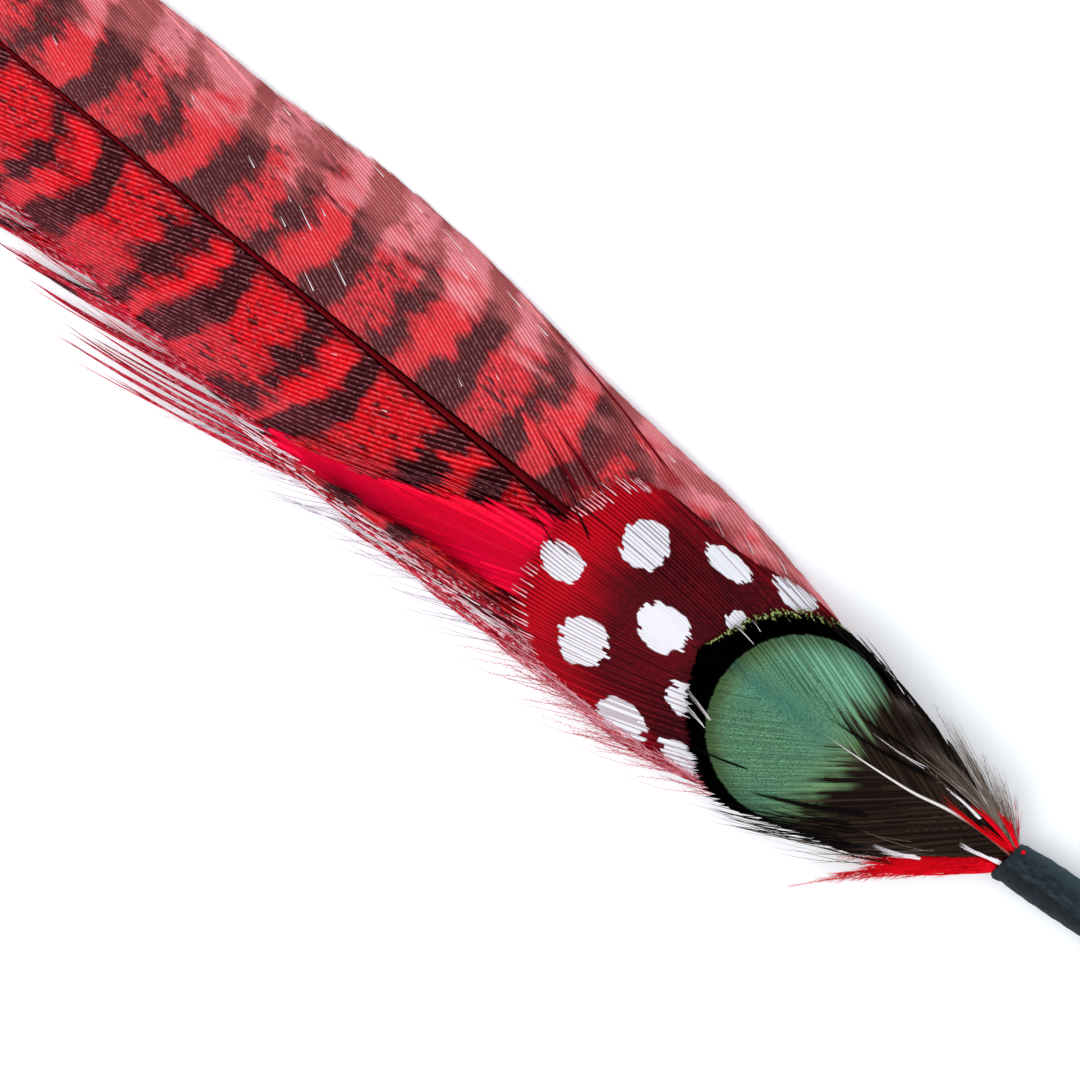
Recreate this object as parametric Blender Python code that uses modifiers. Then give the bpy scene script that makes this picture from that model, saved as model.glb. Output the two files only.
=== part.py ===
"""Feather trim: a barred tail feather with smaller feathers bound over its foot by a taped stem.

Lengths are metres. The plan (X, Y) is measured from the mouth of the taped stem, +X towards
the tail feather's tip, +Y towards the side with the loose barbs, and Z = 0 is the surface
that the trim lies on. The world's origin is on the flat underside of the stem, halfway along.
"""
from dataclasses import dataclass

import bmesh
import bpy
import numpy as np

MM = 0.001


def mm(points):
    """Give a list of points in millimetres as an array in metres."""
    return np.array(points, float) * MM


# Taped stem
STEM_LENGTH = 40 * MM
STEM_RADIUS = 2.1 * MM
STEM_FLAT = 0.15 * MM            # how far the tube is flattened where it lies
STEM_END = 1.2 * MM              # length of its rounded far end
STEM_SHIFT = 0.1 * MM            # its mouth's centre lies this far to -Y
STEM_LEAN = 0.085                # its slope to the X axis at the mouth
STEM_BEND = 1.0                  # how fast it bends away from that slope, per metre
BORE_RADIUS = 1.7 * MM
BORE_LENGTH = 35 * MM
QUILL_LENGTH = 30 * MM           # how far the quills reach back into the stem
STEM_HEIGHT = STEM_RADIUS - STEM_FLAT

# Places of the quills in the bore, from the stem's centre line: sideways and up
TAIL_SEAT = mm((0.0, -0.75))
PLAIN_SEAT = mm((-1.04, 0.42))
GREEN_SEAT = mm((-0.42, 1.04))
GUINEA_SEAT = mm((0.42, 1.04))
DOWN_SEAT = mm((1.04, 0.42))

# The tail feather's vanes are a low roof that falls to its margins and carries the others
TAIL_THICKNESS = 0.4 * MM
COVERT_THICKNESS = 0.3 * MM
TAIL_HALF_WIDTH = 12.5 * MM
TAIL_CAMBER = 1.7
MARGIN_HEIGHT = TAIL_THICKNESS / 2
TAIL_RIDGE = mm([(-40, 1.2), (0, 1.2), (12, 1.35), (30, 1.7), (60, 2.1), (100, 2.0),
                 (130, 1.2), (150, 0.6), (162, 0.35)])
TAIL_PLAN = mm([(0, -0.1), (20, 0.5), (50, 0.6), (80, 0.4), (108, 0.05), (135, -0.3), (162, -0.3)])

# Fineness of the vanes and shafts
LOCK_STEPS = 3                   # barb lines in the width of one lock
BARB_STEPS = 4                   # steps along a barb
SHAFT_STEP = 5 * MM
LOCK_WAVE = 0.03                 # how much the locks' lengths differ
LOOSE_RADIUS = 0.32 * MM
LOOSE_TAPER = (1.0, 0.9, 0.75, 0.55, 0.3)
LOOSE_RISE = 0.15 * MM
LOOSE_BOW = 0.06
WELD = 0.05 * MM


@dataclass
class Feather:
    """A feather: its shaft, the outlines of its two vanes, and its loose locks."""
    name: str
    colour: tuple
    roughness: float
    seat: np.ndarray             # place of its quill in the stem
    path: list                   # shaft from the mouth: x, y and height over the tail's vane, mm
    radii: tuple                 # shaft radius at the quill and at the tip, mm
    thickness: float
    left: list                   # outline of the +Y vane from base to tip, mm
    right: list                  # outline of the -Y vane, mm
    roots: list                  # x where barbs leave the shaft, at even shares of the outline, mm
    locks: int                   # locks in each vane
    notch: float                 # depth of the notch between two locks, as a share of a barb
    bow: float                   # how much a barb bends towards the tip
    loose: list                  # loose locks: x and y of the start, x and y of the end, mm


TAIL = Feather(
    "tail_feather", (0.45, 0.02, 0.03), 0.45, TAIL_SEAT,
    [(x / MM, y / MM, 0.0) for x, y in TAIL_PLAN[1:]], (0.6, 0.16), TAIL_THICKNESS,
    [(11, 2), (19, 6.6), (30, 9.8), (40, 11.4), (50, 12), (60, 12.4), (70, 12.2), (80, 11.2),
     (90, 10.6), (100, 10), (115, 8.9), (130, 7), (145, 4.3), (155, 1.9), (161, -0.1)],
    [(11, -1.5), (19, -5.2), (29, -8), (38, -9.1), (50, -9.9), (60, -11.2), (72, -12.1),
     (82, -12), (90, -11.3), (100, -11.2), (115, -10.2), (130, -8.2), (145, -5.2), (155, -2.4),
     (161, -0.5)],
    [10.3, 12, 18, 30, 44, 58, 73, 88, 105, 122, 141, 159], 22, 0.08, 0.046,
    [(44, 10.5, 58, 13.2), (50, 11, 64, 15.4), (60, 11.3, 76, 15.6), (66, 11, 89, 16.3),
     (72, 10.3, 94, 14), (80, 10, 100, 13.4), (88, 9.4, 106, 12.6), (98, 8.8, 114, 11.6),
     (110, 8, 124, 9.9), (76, -11, 92, -12)])

PLAIN = Feather(
    "plain_red_feather", (0.62, 0.0, 0.02), 0.4, PLAIN_SEAT,
    [(8, -0.5, 1.0), (20, 0.8, 1.0), (32, 2.3, 1.0), (40, 3.7, 1.0), (52, 7, 1.0),
     (62, 9.6, 1.0), (71, 11.3, 0.9)], (0.25, 0.12), COVERT_THICKNESS,
    [(20.1, 1.9), (26, 4), (34, 5.6), (44, 7.8), (52, 9.6), (62, 11.2), (71.5, 11.6)],
    [(20.1, -0.4), (28, -0.9), (36, 0.2), (46, 2.5), (54, 5.5), (62, 8.8), (71.5, 11.2)],
    [19.6, 22, 30, 39, 50, 60, 70], 5, 0.04, 0.04, [])

GUINEA = Feather(
    "guinea_feather", (0.3, 0.0, 0.02), 0.45, GUINEA_SEAT,
    [(5, 0.3, 1.82), (12, 0.7, 1.9), (20, 1.6, 1.9), (33, 2.7, 1.9), (47, 3.1, 1.8)],
    (0.25, 0.12), COVERT_THICKNESS,
    [(13, 2.3), (17, 7), (22.6, 10.4), (28, 12.2), (33, 12.9), (38, 12.3), (42, 11.2),
     (45.2, 9.4), (46.6, 6.2), (47.2, 3.3)],
    [(13, -0.9), (17, -4), (22.6, -6), (28, -6.9), (33, -6.8), (38, -6.5), (42, -6.1),
     (45, -4.6), (46.6, -1), (47.2, 2.9)],
    [12.3, 14, 18, 24, 31, 38, 45.5], 8, 0.06, 0.05,
    [(22, 8.6, 28, 14.6), (27, 11, 34, 14.6), (31, 11.6, 40, 14.9), (36, 11.5, 46, 14.2)])

GREEN = Feather(
    "green_feather", (0.05, 0.2, 0.1), 0.45, GREEN_SEAT,
    [(4, -0.2, 2.5), (10, 0.6, 2.75), (20, 1.6, 2.8), (31, 2.4, 2.6)],
    (0.25, 0.12), COVERT_THICKNESS,
    [(3.8, 0.8), (6.4, 4.8), (10, 7.6), (15, 9), (20, 10.9), (22.8, 11.6), (26.6, 9.9),
     (29.6, 6.8), (31.4, 2.6)],
    [(3.8, -1.3), (6.6, -3.4), (10, -4.6), (13, -5.1), (17, -5.5), (22, -6.5), (25.6, -6.3),
     (28.8, -4), (31.4, 2.2)],
    [3.4, 5, 8, 12, 17, 23, 30], 8, 0.06, 0.06,
    [(13, 7.6, 20.5, 11.9), (9.5, 6.3, 14.5, 10.4), (15, -4.2, 21, -7), (5, -1.6, 12.5, -6.4),
     (4.6, -1.2, 8, -5.6)])

DOWN = Feather(
    "red_down", (0.7, 0.0, 0.03), 0.6, DOWN_SEAT,
    [(3, 2.5, 1.35), (6, 5, 1.6), (9, 8, 1.7), (11, 10.6, 1.75), (12.8, 13.2, 1.75)],
    (0.25, 0.12), COVERT_THICKNESS,
    [(1.1, 2.2), (4.1, 5), (7.2, 8), (9.8, 11), (12.9, 13.6)],
    [(1.9, 1.3), (5.4, 3.6), (9, 6.8), (11.2, 9.4), (13.1, 13.4)],
    [1.2, 3, 5.5, 8.5, 12.4], 4, 0.12, 0.03, [])

FEATHERS = (TAIL, PLAIN, GUINEA, GREEN, DOWN)
STEM_COLOUR = (0.02, 0.025, 0.03)
STEM_ROUGHNESS = 0.85


def hermite(knots, values, at):
    """Read a smooth curve through values, which stand at knots, at the places in at."""
    at = np.clip(at, knots[0], knots[-1])
    slopes = np.gradient(values, knots, axis=0)
    left = np.clip(np.searchsorted(knots, at, side="right") - 1, 0, len(knots) - 2)
    span = knots[left + 1] - knots[left]
    t = (at - knots[left]) / span
    if values.ndim == 2:
        span, t = span[:, None], t[:, None]
    return ((1 + 2 * t) * (1 - t) ** 2 * values[left] + t * (1 - t) ** 2 * span * slopes[left]
            + t * t * (3 - 2 * t) * values[left + 1] + t * t * (t - 1) * span * slopes[left + 1])


def along(points, share):
    """Read a smooth curve through points at shares of its length."""
    steps = np.linalg.norm(np.diff(points, axis=0), axis=1)
    knots = np.concatenate(([0.0], np.cumsum(steps))) / steps.sum()
    return hermite(knots, points, share)


def stem_line(x):
    """Sideways place of the stem's centre line at x, which is negative behind the mouth."""
    return -STEM_SHIFT + STEM_LEAN * x - STEM_BEND * x * x


def lie(x, y):
    """Height of the middle of the tail feather's vane at a point of the plan."""
    ridge = hermite(TAIL_RIDGE[:, 0], TAIL_RIDGE[:, 1], x)
    middle = hermite(TAIL_PLAN[:, 0], TAIL_PLAN[:, 1], x)
    out = np.clip(np.abs(y - middle) / TAIL_HALF_WIDTH, 0, 1)
    return MARGIN_HEIGHT + (ridge - MARGIN_HEIGHT) * (1 - out ** TAIL_CAMBER)


def shaft_points(feather):
    """Plan and lift of the shaft: its seat in the stem's mouth, then its own points."""
    mouth = (0.0, stem_line(0.0) + feather.seat[0], feather.seat[1] - TAIL_SEAT[1])
    return np.vstack((mouth, mm(feather.path)))


def shaft_line(feather, x):
    """Sideways place of the shaft at x, which follows the stem behind the mouth."""
    points = shaft_points(feather)
    inside = stem_line(np.minimum(x, 0.0)) + feather.seat[0]
    return np.where(x < 0, inside, hermite(points[:, 0], points[:, 1], x))


def height(feather, x, y):
    """Height of the middle of the feather's vane, which drapes over the tail feather."""
    points = shaft_points(feather)
    lift = hermite(points[:, 0], points[:, 2], x)
    return np.where(x < 0, STEM_HEIGHT + feather.seat[1], lie(x, y) + lift)


def barb_plan(feather, share, out):
    """Plan of the point at out along a barb: -1 is the -Y margin, 0 the shaft, 1 the +Y margin."""
    side = np.sign(out)
    edge = np.where((out > 0)[:, None], along(mm(feather.left), share), along(mm(feather.right), share))
    shares = np.linspace(0.0, 1.0, len(feather.roots))
    root_x = hermite(shares, mm(feather.roots), share)
    root = np.stack((root_x, shaft_line(feather, root_x)), axis=1)
    chord = edge - root
    outward = side[:, None] * np.stack((-chord[:, 1], chord[:, 0]), axis=1)
    middle = (root + edge) / 2 + feather.bow * outward
    lock, phase = np.divmod(share * feather.locks, 1.0)
    reach = 1 - feather.notch * (1 - np.sin(np.pi * phase)) - LOCK_WAVE * np.sin(2.4 * lock) ** 2
    t = (np.abs(out) * reach)[:, None]
    return (1 - t) ** 2 * root + 2 * t * (1 - t) * middle + t * t * edge


def stand(name, mesh, group):
    """Put a mesh or curve in the scene as an object of the group."""
    thing = bpy.data.objects.new(name, mesh)
    group.objects.link(thing)
    return thing


def material(thing, colour, roughness):
    """Give the object a material of its own."""
    finish = bpy.data.materials.new(thing.name)
    finish.use_nodes = True
    shader = finish.node_tree.nodes["Principled BSDF"]
    shader.inputs["Base Color"].default_value = (*colour, 1.0)
    shader.inputs["Roughness"].default_value = roughness
    thing.data.materials.append(finish)


def smooth(mesh):
    """Shade a mesh smooth up to its real edges."""
    mesh.shade_smooth()
    mesh.set_sharp_from_angle(angle=np.radians(40))


def tubes(name, runs, group, fineness=2):
    """Round tubes as one mesh, each run given by its points and the radius at each point."""
    data = bpy.data.curves.new(name, "CURVE")
    data.dimensions = "3D"
    data.bevel_depth = 1.0
    data.bevel_resolution = fineness
    data.use_fill_caps = True
    for points, radii in runs:
        spline = data.splines.new("POLY")
        spline.points.add(len(points) - 1)
        for place, point, radius in zip(spline.points, points, radii):
            place.co = (*point, 1.0)
            place.radius = radius
    curve = stand(name, data, group)
    bpy.context.view_layer.update()
    depsgraph = bpy.context.evaluated_depsgraph_get()
    mesh = bpy.data.meshes.new_from_object(curve.evaluated_get(depsgraph))
    place = curve.matrix_world.copy()
    bpy.data.objects.remove(curve)
    work = bmesh.new()
    work.from_mesh(mesh)
    bmesh.ops.remove_doubles(work, verts=work.verts, dist=0.01 * MM)
    bmesh.ops.recalc_face_normals(work, faces=work.faces)
    work.to_mesh(mesh)
    work.free()
    smooth(mesh)
    thing = stand(name, mesh, group)
    thing.matrix_world = place
    return thing


def cutter(thing):
    """Mark an object as a tool for another, not a part."""
    thing.hide_render = True
    thing.display_type = "WIRE"
    return thing


def combine(thing, tool, operation, own=False):
    """Join a tool to the object or cut it away."""
    step = thing.modifiers.new(tool.name, "BOOLEAN")
    step.operation = operation
    step.solver = "EXACT"
    step.use_self = own
    step.object = tool


def vane(feather, group):
    """The two vanes as one sheet of fused locks, draped and then given their thickness."""
    work = bmesh.new()
    bmesh.ops.create_grid(work, x_segments=feather.locks * LOCK_STEPS,
                          y_segments=2 * BARB_STEPS, size=0.5)
    share = np.array([vertex.co.x + 0.5 for vertex in work.verts])
    out = np.array([2 * vertex.co.y for vertex in work.verts])
    plan = barb_plan(feather, share, out)
    rise = height(feather, plan[:, 0], plan[:, 1])
    for vertex, (x, y), z in zip(work.verts, plan, rise):
        vertex.co = (x, y, z)
    bmesh.ops.remove_doubles(work, verts=work.verts, dist=WELD)
    mesh = bpy.data.meshes.new(feather.name)
    work.to_mesh(mesh)
    work.free()
    smooth(mesh)
    sheet = stand(feather.name, mesh, group)
    wall = sheet.modifiers.new("thickness", "SOLIDIFY")
    wall.thickness = feather.thickness
    wall.offset = 0.0
    return sheet


def shaft_run(feather):
    """Points and radii of the shaft, from the end of its quill in the stem to its tip."""
    end = mm(feather.roots)[-1]
    steps = int((end + QUILL_LENGTH) / SHAFT_STEP) + 2
    x = np.linspace(-QUILL_LENGTH, end, steps)
    y = shaft_line(feather, x)
    z = height(feather, x, y)
    quill, tip = mm(feather.radii)
    radii = np.interp(x, (0.0, end), (quill, tip))
    return np.stack((x, y, z), axis=1), radii


def loose_run(feather, lock):
    """Points and radii of one loose lock, which springs from the vane and sweeps to the tip."""
    ends = mm(lock).reshape(2, 2)
    chord = ends[1] - ends[0]
    outward = np.array((-chord[1], chord[0])) * np.sign(chord[1])
    middle = ends.mean(axis=0) + LOOSE_BOW * outward
    t = np.linspace(0.0, 1.0, len(LOOSE_TAPER))[:, None]
    plan = (1 - t) ** 2 * ends[0] + 2 * t * (1 - t) * middle + t * t * ends[1]
    z = height(feather, plan[:, 0], plan[:, 1]) + LOOSE_RISE
    return np.column_stack((plan, z)), LOOSE_RADIUS * np.array(LOOSE_TAPER)


def build_feather(feather, parts, cutters):
    """A feather as one solid: its vanes with its shaft and its loose locks fused to them."""
    thing = vane(feather, parts)
    shaft = tubes(feather.name + "_shaft", [shaft_run(feather)], cutters)
    combine(thing, cutter(shaft), "UNION")
    if feather.loose:
        runs = [loose_run(feather, lock) for lock in feather.loose]
        locks = tubes(feather.name + "_locks", runs, cutters, fineness=1)
        combine(thing, cutter(locks), "UNION", own=True)
    material(thing, feather.colour, feather.roughness)
    return thing


def build_stem(parts, cutters):
    """The taped stem: a bent tube with a rounded end, a bore for the quills and a flat underside."""
    back = STEM_LENGTH - STEM_END * np.sin(np.radians((0, 35, 65, 90)))
    x = np.concatenate((-back, -STEM_LENGTH + STEM_LENGTH * np.arange(1, 11) / 10))
    radii = np.full(len(x), STEM_RADIUS)
    radii[:4] -= STEM_END * (1 - np.cos(np.radians((90, 55, 25, 0))))
    points = np.stack((x, stem_line(x), np.full(len(x), STEM_HEIGHT)), axis=1)
    stem = tubes("stem_wrap", [(points, radii)], parts, fineness=6)
    bore_x = np.linspace(-BORE_LENGTH, STEM_RADIUS, 10)
    bore = np.stack((bore_x, stem_line(bore_x), np.full(len(bore_x), STEM_HEIGHT)), axis=1)
    hole = tubes("stem_bore", [(bore, np.full(len(bore_x), BORE_RADIUS))], cutters, fineness=4)
    combine(stem, cutter(hole), "DIFFERENCE")
    bpy.ops.mesh.primitive_cube_add(size=1.0)
    floor = bpy.context.object
    floor.name = "stem_floor"
    floor.scale = (3 * STEM_LENGTH, STEM_LENGTH, STEM_RADIUS)
    floor.location = (0.0, 0.0, -STEM_RADIUS / 2)
    for group in floor.users_collection:
        group.objects.unlink(floor)
    cutters.objects.link(floor)
    combine(stem, cutter(floor), "DIFFERENCE")
    material(stem, STEM_COLOUR, STEM_ROUGHNESS)
    return stem


def main():
    """Build the trim and set its origin on the stem's flat underside, halfway along."""
    for thing in list(bpy.data.objects):
        bpy.data.objects.remove(thing)
    parts = bpy.data.collections.new("feather_trim")
    cutters = bpy.data.collections.new("cutters")
    for group in (parts, cutters):
        bpy.context.scene.collection.children.link(group)
    mouth = stand("stem_mouth", None, parts)
    mouth.location = (STEM_LENGTH / 2, -stem_line(-STEM_LENGTH / 2), 0.0)
    pieces = [build_stem(parts, cutters)]
    pieces += [build_feather(feather, parts, cutters) for feather in FEATHERS]
    for thing in pieces + list(cutters.objects):
        thing.parent = mouth


main()
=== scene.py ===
"""Feather trim: the barbs, down, dyed patterns and taped stem of a bound pheasant tail feather.

Plans are in millimetres from the mouth of the taped stem, +X towards the tail feather's tip and
+Y towards its loose barbs, and heights are above the surface that the trim lies on.
"""
from dataclasses import dataclass, field

import bmesh
import bpy
import numpy as np
from bpy.props import FloatProperty, FloatVectorProperty, PointerProperty
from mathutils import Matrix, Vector


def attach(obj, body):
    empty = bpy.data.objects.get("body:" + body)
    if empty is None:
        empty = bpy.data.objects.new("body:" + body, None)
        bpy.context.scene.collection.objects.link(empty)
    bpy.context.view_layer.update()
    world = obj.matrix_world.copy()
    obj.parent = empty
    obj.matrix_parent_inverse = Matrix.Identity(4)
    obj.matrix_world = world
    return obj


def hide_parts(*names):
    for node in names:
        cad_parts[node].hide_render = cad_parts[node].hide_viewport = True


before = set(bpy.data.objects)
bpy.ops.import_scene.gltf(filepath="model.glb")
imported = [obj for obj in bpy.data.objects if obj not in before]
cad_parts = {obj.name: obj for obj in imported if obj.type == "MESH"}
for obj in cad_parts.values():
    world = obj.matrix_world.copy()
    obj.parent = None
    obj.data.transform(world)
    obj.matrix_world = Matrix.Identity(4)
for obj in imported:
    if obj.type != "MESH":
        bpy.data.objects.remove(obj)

bl_info = {
    "name": "Feather trim",
    "version": (1, 0, 0),
    "blender": (4, 5, 0),
    "location": "3D View > Sidebar > Feather trim",
    "description": "Barbs, down, dyed patterns and taped stem of a bound feather trim",
    "category": "Object",
}

MM = 0.001
STEM_LENGTH = 40.0
STEM_SHIFT = 0.1
STEM_LEAN = 0.085
STEM_BEND = 0.001
STEM_RADIUS = 2.1
STEM_HEIGHT = 1.95


def stem_line(x):
    """Sideways place of the stem's centre line at x, which is negative behind the mouth."""
    return -STEM_SHIFT + STEM_LEAN * x - STEM_BEND * x * x


# The world's origin is on the stem's flat underside, halfway along
MOUTH = np.array((STEM_LENGTH / 2, -stem_line(-STEM_LENGTH / 2), 0.0))


def linear(code):
    """Linear colour with alpha of an sRGB hex value."""
    parts = [int(code[i:i + 2], 16) / 255 for i in (1, 3, 5)]
    return tuple(c / 12.92 if c <= 0.04045 else ((c + 0.055) / 1.055) ** 2.4 for c in parts) + (1.0,)


# Lie of the tail feather's vanes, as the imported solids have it
MARGIN_HEIGHT = 0.2
TAIL_HALF_WIDTH = 12.5
TAIL_CAMBER = 1.7
TAIL_RIDGE = np.array([(-40, 1.2), (0, 1.2), (12, 1.35), (30, 1.7), (60, 2.1), (100, 2.0),
                       (130, 1.2), (150, 0.6), (162, 0.35)], float)
TAIL_PLAN = np.array([(0, -0.1), (20, 0.5), (50, 0.6), (80, 0.4), (108, 0.05), (135, -0.3),
                      (162, -0.3)], float)


def hermite(knots, values, at):
    """Read a smooth curve through values, which stand at knots, at the places in at."""
    at = np.clip(at, knots[0], knots[-1])
    slopes = np.gradient(values, knots, axis=0)
    left = np.clip(np.searchsorted(knots, at, side="right") - 1, 0, len(knots) - 2)
    span = knots[left + 1] - knots[left]
    t = (at - knots[left]) / span
    if values.ndim == 2:
        span, t = span[..., None], t[..., None]
    return ((1 + 2 * t) * (1 - t) ** 2 * values[left] + t * (1 - t) ** 2 * span * slopes[left]
            + t * t * (3 - 2 * t) * values[left + 1] + t * t * (t - 1) * span * slopes[left + 1])


def along(points, share):
    """Read a smooth curve through points at shares of its length."""
    points = np.asarray(points, float)
    steps = np.linalg.norm(np.diff(points, axis=0), axis=1)
    knots = np.concatenate(([0.0], np.cumsum(steps))) / steps.sum()
    return hermite(knots, points, share)


def lie(x, y):
    """Height of the middle of the tail feather's vane at a point of the plan."""
    ridge = hermite(TAIL_RIDGE[:, 0], TAIL_RIDGE[:, 1], x)
    middle = hermite(TAIL_PLAN[:, 0], TAIL_PLAN[:, 1], x)
    out = np.clip(np.abs(y - middle) / TAIL_HALF_WIDTH, 0, 1)
    return MARGIN_HEIGHT + (ridge - MARGIN_HEIGHT) * (1 - out ** TAIL_CAMBER)


@dataclass
class Plume:
    """Plan of one feather: its shaft, its two outlines and where its barbs leave the shaft."""
    seat: tuple                  # place of its quill from the stem's centre line: sideways, up
    path: list                   # shaft from the mouth: x, y and height over the tail's vane
    radii: list                  # shaft radius: x and radius
    left: list                   # outline of the +Y vane from base to tip
    right: list                  # outline of the -Y vane
    left_roots: list             # x where barbs leave the shaft, at even shares of the outline
    right_roots: list
    bow: tuple                   # outward bulge of a barb at two fifths and two thirds of it

    def shaft(self, x):
        """Plan and lift of the shaft at x, which follows the stem behind the mouth."""
        mouth = (0.0, stem_line(0.0) + self.seat[0], self.seat[1] + 0.75)
        points = np.vstack((mouth, np.array(self.path, float)))
        y = np.where(x < 0, stem_line(np.minimum(x, 0)) + self.seat[0],
                     hermite(points[:, 0], points[:, 1], x))
        return y, hermite(points[:, 0], points[:, 2], x)

    def height(self, x, y):
        """Height of the middle of this feather's vane at a point of the plan."""
        return np.where(x < 0, STEM_HEIGHT + self.seat[1], lie(x, y) + self.shaft(x)[1])

    def root(self, share, side):
        """Place along X where the barb leaves the shaft that ends at a share of the outline."""
        roots = np.array(self.left_roots if side > 0 else self.right_roots, float)
        return hermite(np.linspace(0, 1, len(roots)), roots, share)

    def barb(self, share, out, side):
        """Plan of the point at out, from 0 at the shaft to 1 at the margin, along a barb."""
        edge = along(self.left if side > 0 else self.right, share)
        root_x = self.root(share, side)
        root = np.stack((root_x, self.shaft(root_x)[0]), axis=-1)
        chord = edge - root
        outward = side * np.stack((-chord[..., 1], chord[..., 0]), axis=-1)
        first = root + 0.4 * chord + self.bow[0] * outward
        second = root + 0.67 * chord + self.bow[1] * outward
        t = out[..., None]
        return ((1 - t) ** 3 * root + 3 * t * (1 - t) ** 2 * first + 3 * t * t * (1 - t) * second
                + t ** 3 * edge)


TAIL = Plume(
    (0.0, -0.75), [(x, y, 0.0) for x, y in TAIL_PLAN[1:]],
    [(-30, 0.6), (0, 0.62), (50, 0.5), (60, 0.42), (80, 0.31), (100, 0.24), (130, 0.15),
     (160, 0.05)],
    [(11, 2), (19, 6.6), (30, 9.8), (40, 11.4), (50, 12), (60, 12.4), (70, 12.2), (80, 11.2),
     (90, 10.6), (100, 10), (115, 8.9), (130, 7), (145, 4.3), (155, 1.9), (161, -0.1)],
    [(11, -1.5), (19, -5.2), (29, -7.8), (37, -9), (46, -9.6), (53, -10.1), (60, -11), (68, -11.9),
     (80, -12.1), (88, -11.4), (98, -11.3), (108, -10.8), (118, -9.9), (130, -8.2), (145, -5.2),
     (155, -2.4), (161, -0.5)],
    [8, 9, 14, 22, 33, 45, 58, 72, 87, 104, 125, 157],
    [8, 9, 13.5, 21, 29.5, 41, 53.5, 67, 82, 100, 123, 157], (0.052, 0.062))

PLAIN = Plume(
    (-1.04, 0.42),
    [(8, -0.5, 1.0), (20, 0.8, 1.0), (32, 2.3, 0.9), (40, 3.7, 0.7), (52, 7, 0.5),
     (62, 9.6, 0.4), (71, 11.3, 0.35)],
    [(-30, 0.25), (40, 0.16), (60, 0.08), (71, 0.03)],
    [(20.1, 1.9), (26, 4), (34, 5.6), (44, 8.2), (52, 9.8), (62, 11.2), (71.5, 11.6)],
    [(20.1, -0.4), (28, -0.9), (36, 0.1), (46, 1.3), (50, 2.0), (54, 4.4), (58, 6.8), (62, 8.4),
     (71.5, 11.0)],
    [12, 16, 21, 27, 35, 46, 66], [12, 15, 19, 24, 32, 44, 66], (0.03, 0.03))

GUINEA = Plume(
    (0.42, 1.04),
    [(5, 0.3, 1.82), (12, 0.7, 1.9), (20, 1.6, 1.9), (33, 2.7, 1.9), (47, 3.1, 1.8)],
    [(-30, 0.25), (20, 0.2), (40, 0.1), (47, 0.03)],
    [(13, 2.3), (17, 7), (22.6, 10.4), (28, 12.2), (33, 12.9), (38, 12.5), (43, 11.4),
     (46.2, 9.4), (47.3, 6.2), (47.5, 3.3)],
    [(13, -0.9), (17, -4), (22.6, -6), (27, -6.9), (30, -6.6), (33, -6), (38, -5.9), (42.5, -5.9),
     (45.7, -4.6), (47.1, -1), (47.5, 2.9)],
    [1, 2, 3, 4.3, 6, 8.6, 12, 17, 29], [1, 1.6, 2.4, 3.4, 4.6, 6.5, 9, 14, 29], (0.02, 0.04))

GREEN = Plume(
    (-0.42, 1.04),
    [(4, -0.55, 2.5), (7, -0.2, 2.7), (10, 0.5, 2.75), (13, 0.9, 2.8), (20, 1.5, 2.8), (31, 2.4, 2.6)],
    [(-30, 0.25), (0, 0.16), (8, 0.17), (14, 0.1), (20, 0.04), (30, 0.02)],
    [(1.8, 0.4), (4, 2.1), (6, 3.7), (8.5, 5.7), (11.5, 8.1), (15, 9), (20, 10.9), (22.8, 11.6),
     (26.6, 9.9), (29.6, 6.8), (31.4, 2.6)],
    [(2, -1.2), (5, -2.2), (9, -3.4), (10.2, -4.4), (13, -5.1), (17, -5.5), (22, -6.5), (25.6, -6.3),
     (28.8, -4), (31.4, 2.2)],
    [0.6, 0.8, 1.5, 3.5, 5.5, 8.5, 14, 20.5, 30], [0.4, 0.6, 0.8, 1.2, 2.5, 5, 9, 17, 30], (0.0, 0.02))

DOWN = Plume(
    (1.04, 0.42),
    [(3, 2.5, 1.35), (6, 5, 1.6), (9, 8, 1.7), (11, 10.6, 1.75), (12.8, 13.2, 1.75)],
    [(-30, 0.25), (0, 0.2), (12.8, 0.03)],
    [(1.1, 2.2), (4.1, 5), (7.2, 8), (9.8, 11), (12.9, 13.6)],
    [(1.9, 1.3), (5.4, 3.6), (9, 6.8), (11.2, 9.4), (13.1, 13.4)],
    [1.2, 3, 5.5, 8.5, 12.4], [1.2, 3, 5.5, 8.5, 12.4], (0.0, 0.0))


@dataclass
class Threads:
    """Many fine threads: centre lines, half widths and the marks that their finish reads."""
    points: list = field(default_factory=list)
    widths: list = field(default_factory=list)
    marks: dict = field(default_factory=lambda: {"share": [], "shift": [], "tone": []})

    def add(self, points, widths, shift, tone):
        """Add one thread, with its share of length worked out."""
        self.points.append(points)
        self.widths.append(np.broadcast_to(widths, len(points)))
        self.marks["share"].append(np.linspace(0, 1, len(points)))
        self.marks["shift"].append(np.full(len(points), shift))
        self.marks["tone"].append(np.full(len(points), tone))


# Kinds of node in short: the node, its settings, the inputs of its values and the output it gives
KINDS = {
    "MIX": ("ShaderNodeMix", {"data_type": "RGBA"}, (0, 6, 7), 2),
    "EASE": ("ShaderNodeMapRange", {"interpolation_type": "SMOOTHSTEP"}, (0, 1, 2, 3, 4), 0),
}
KINDS.update({name: ("ShaderNodeMath", {"operation": name}, (0, 1, 2), 0) for name in (
    "ADD", "SUBTRACT", "MULTIPLY", "MULTIPLY_ADD", "ABSOLUTE", "FRACT", "MINIMUM", "MAXIMUM")})
KINDS.update({name: ("ShaderNodeAttribute", {"attribute_name": name}, (), "Fac") for name in (
    "share", "shift", "tone", "across")})


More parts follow.
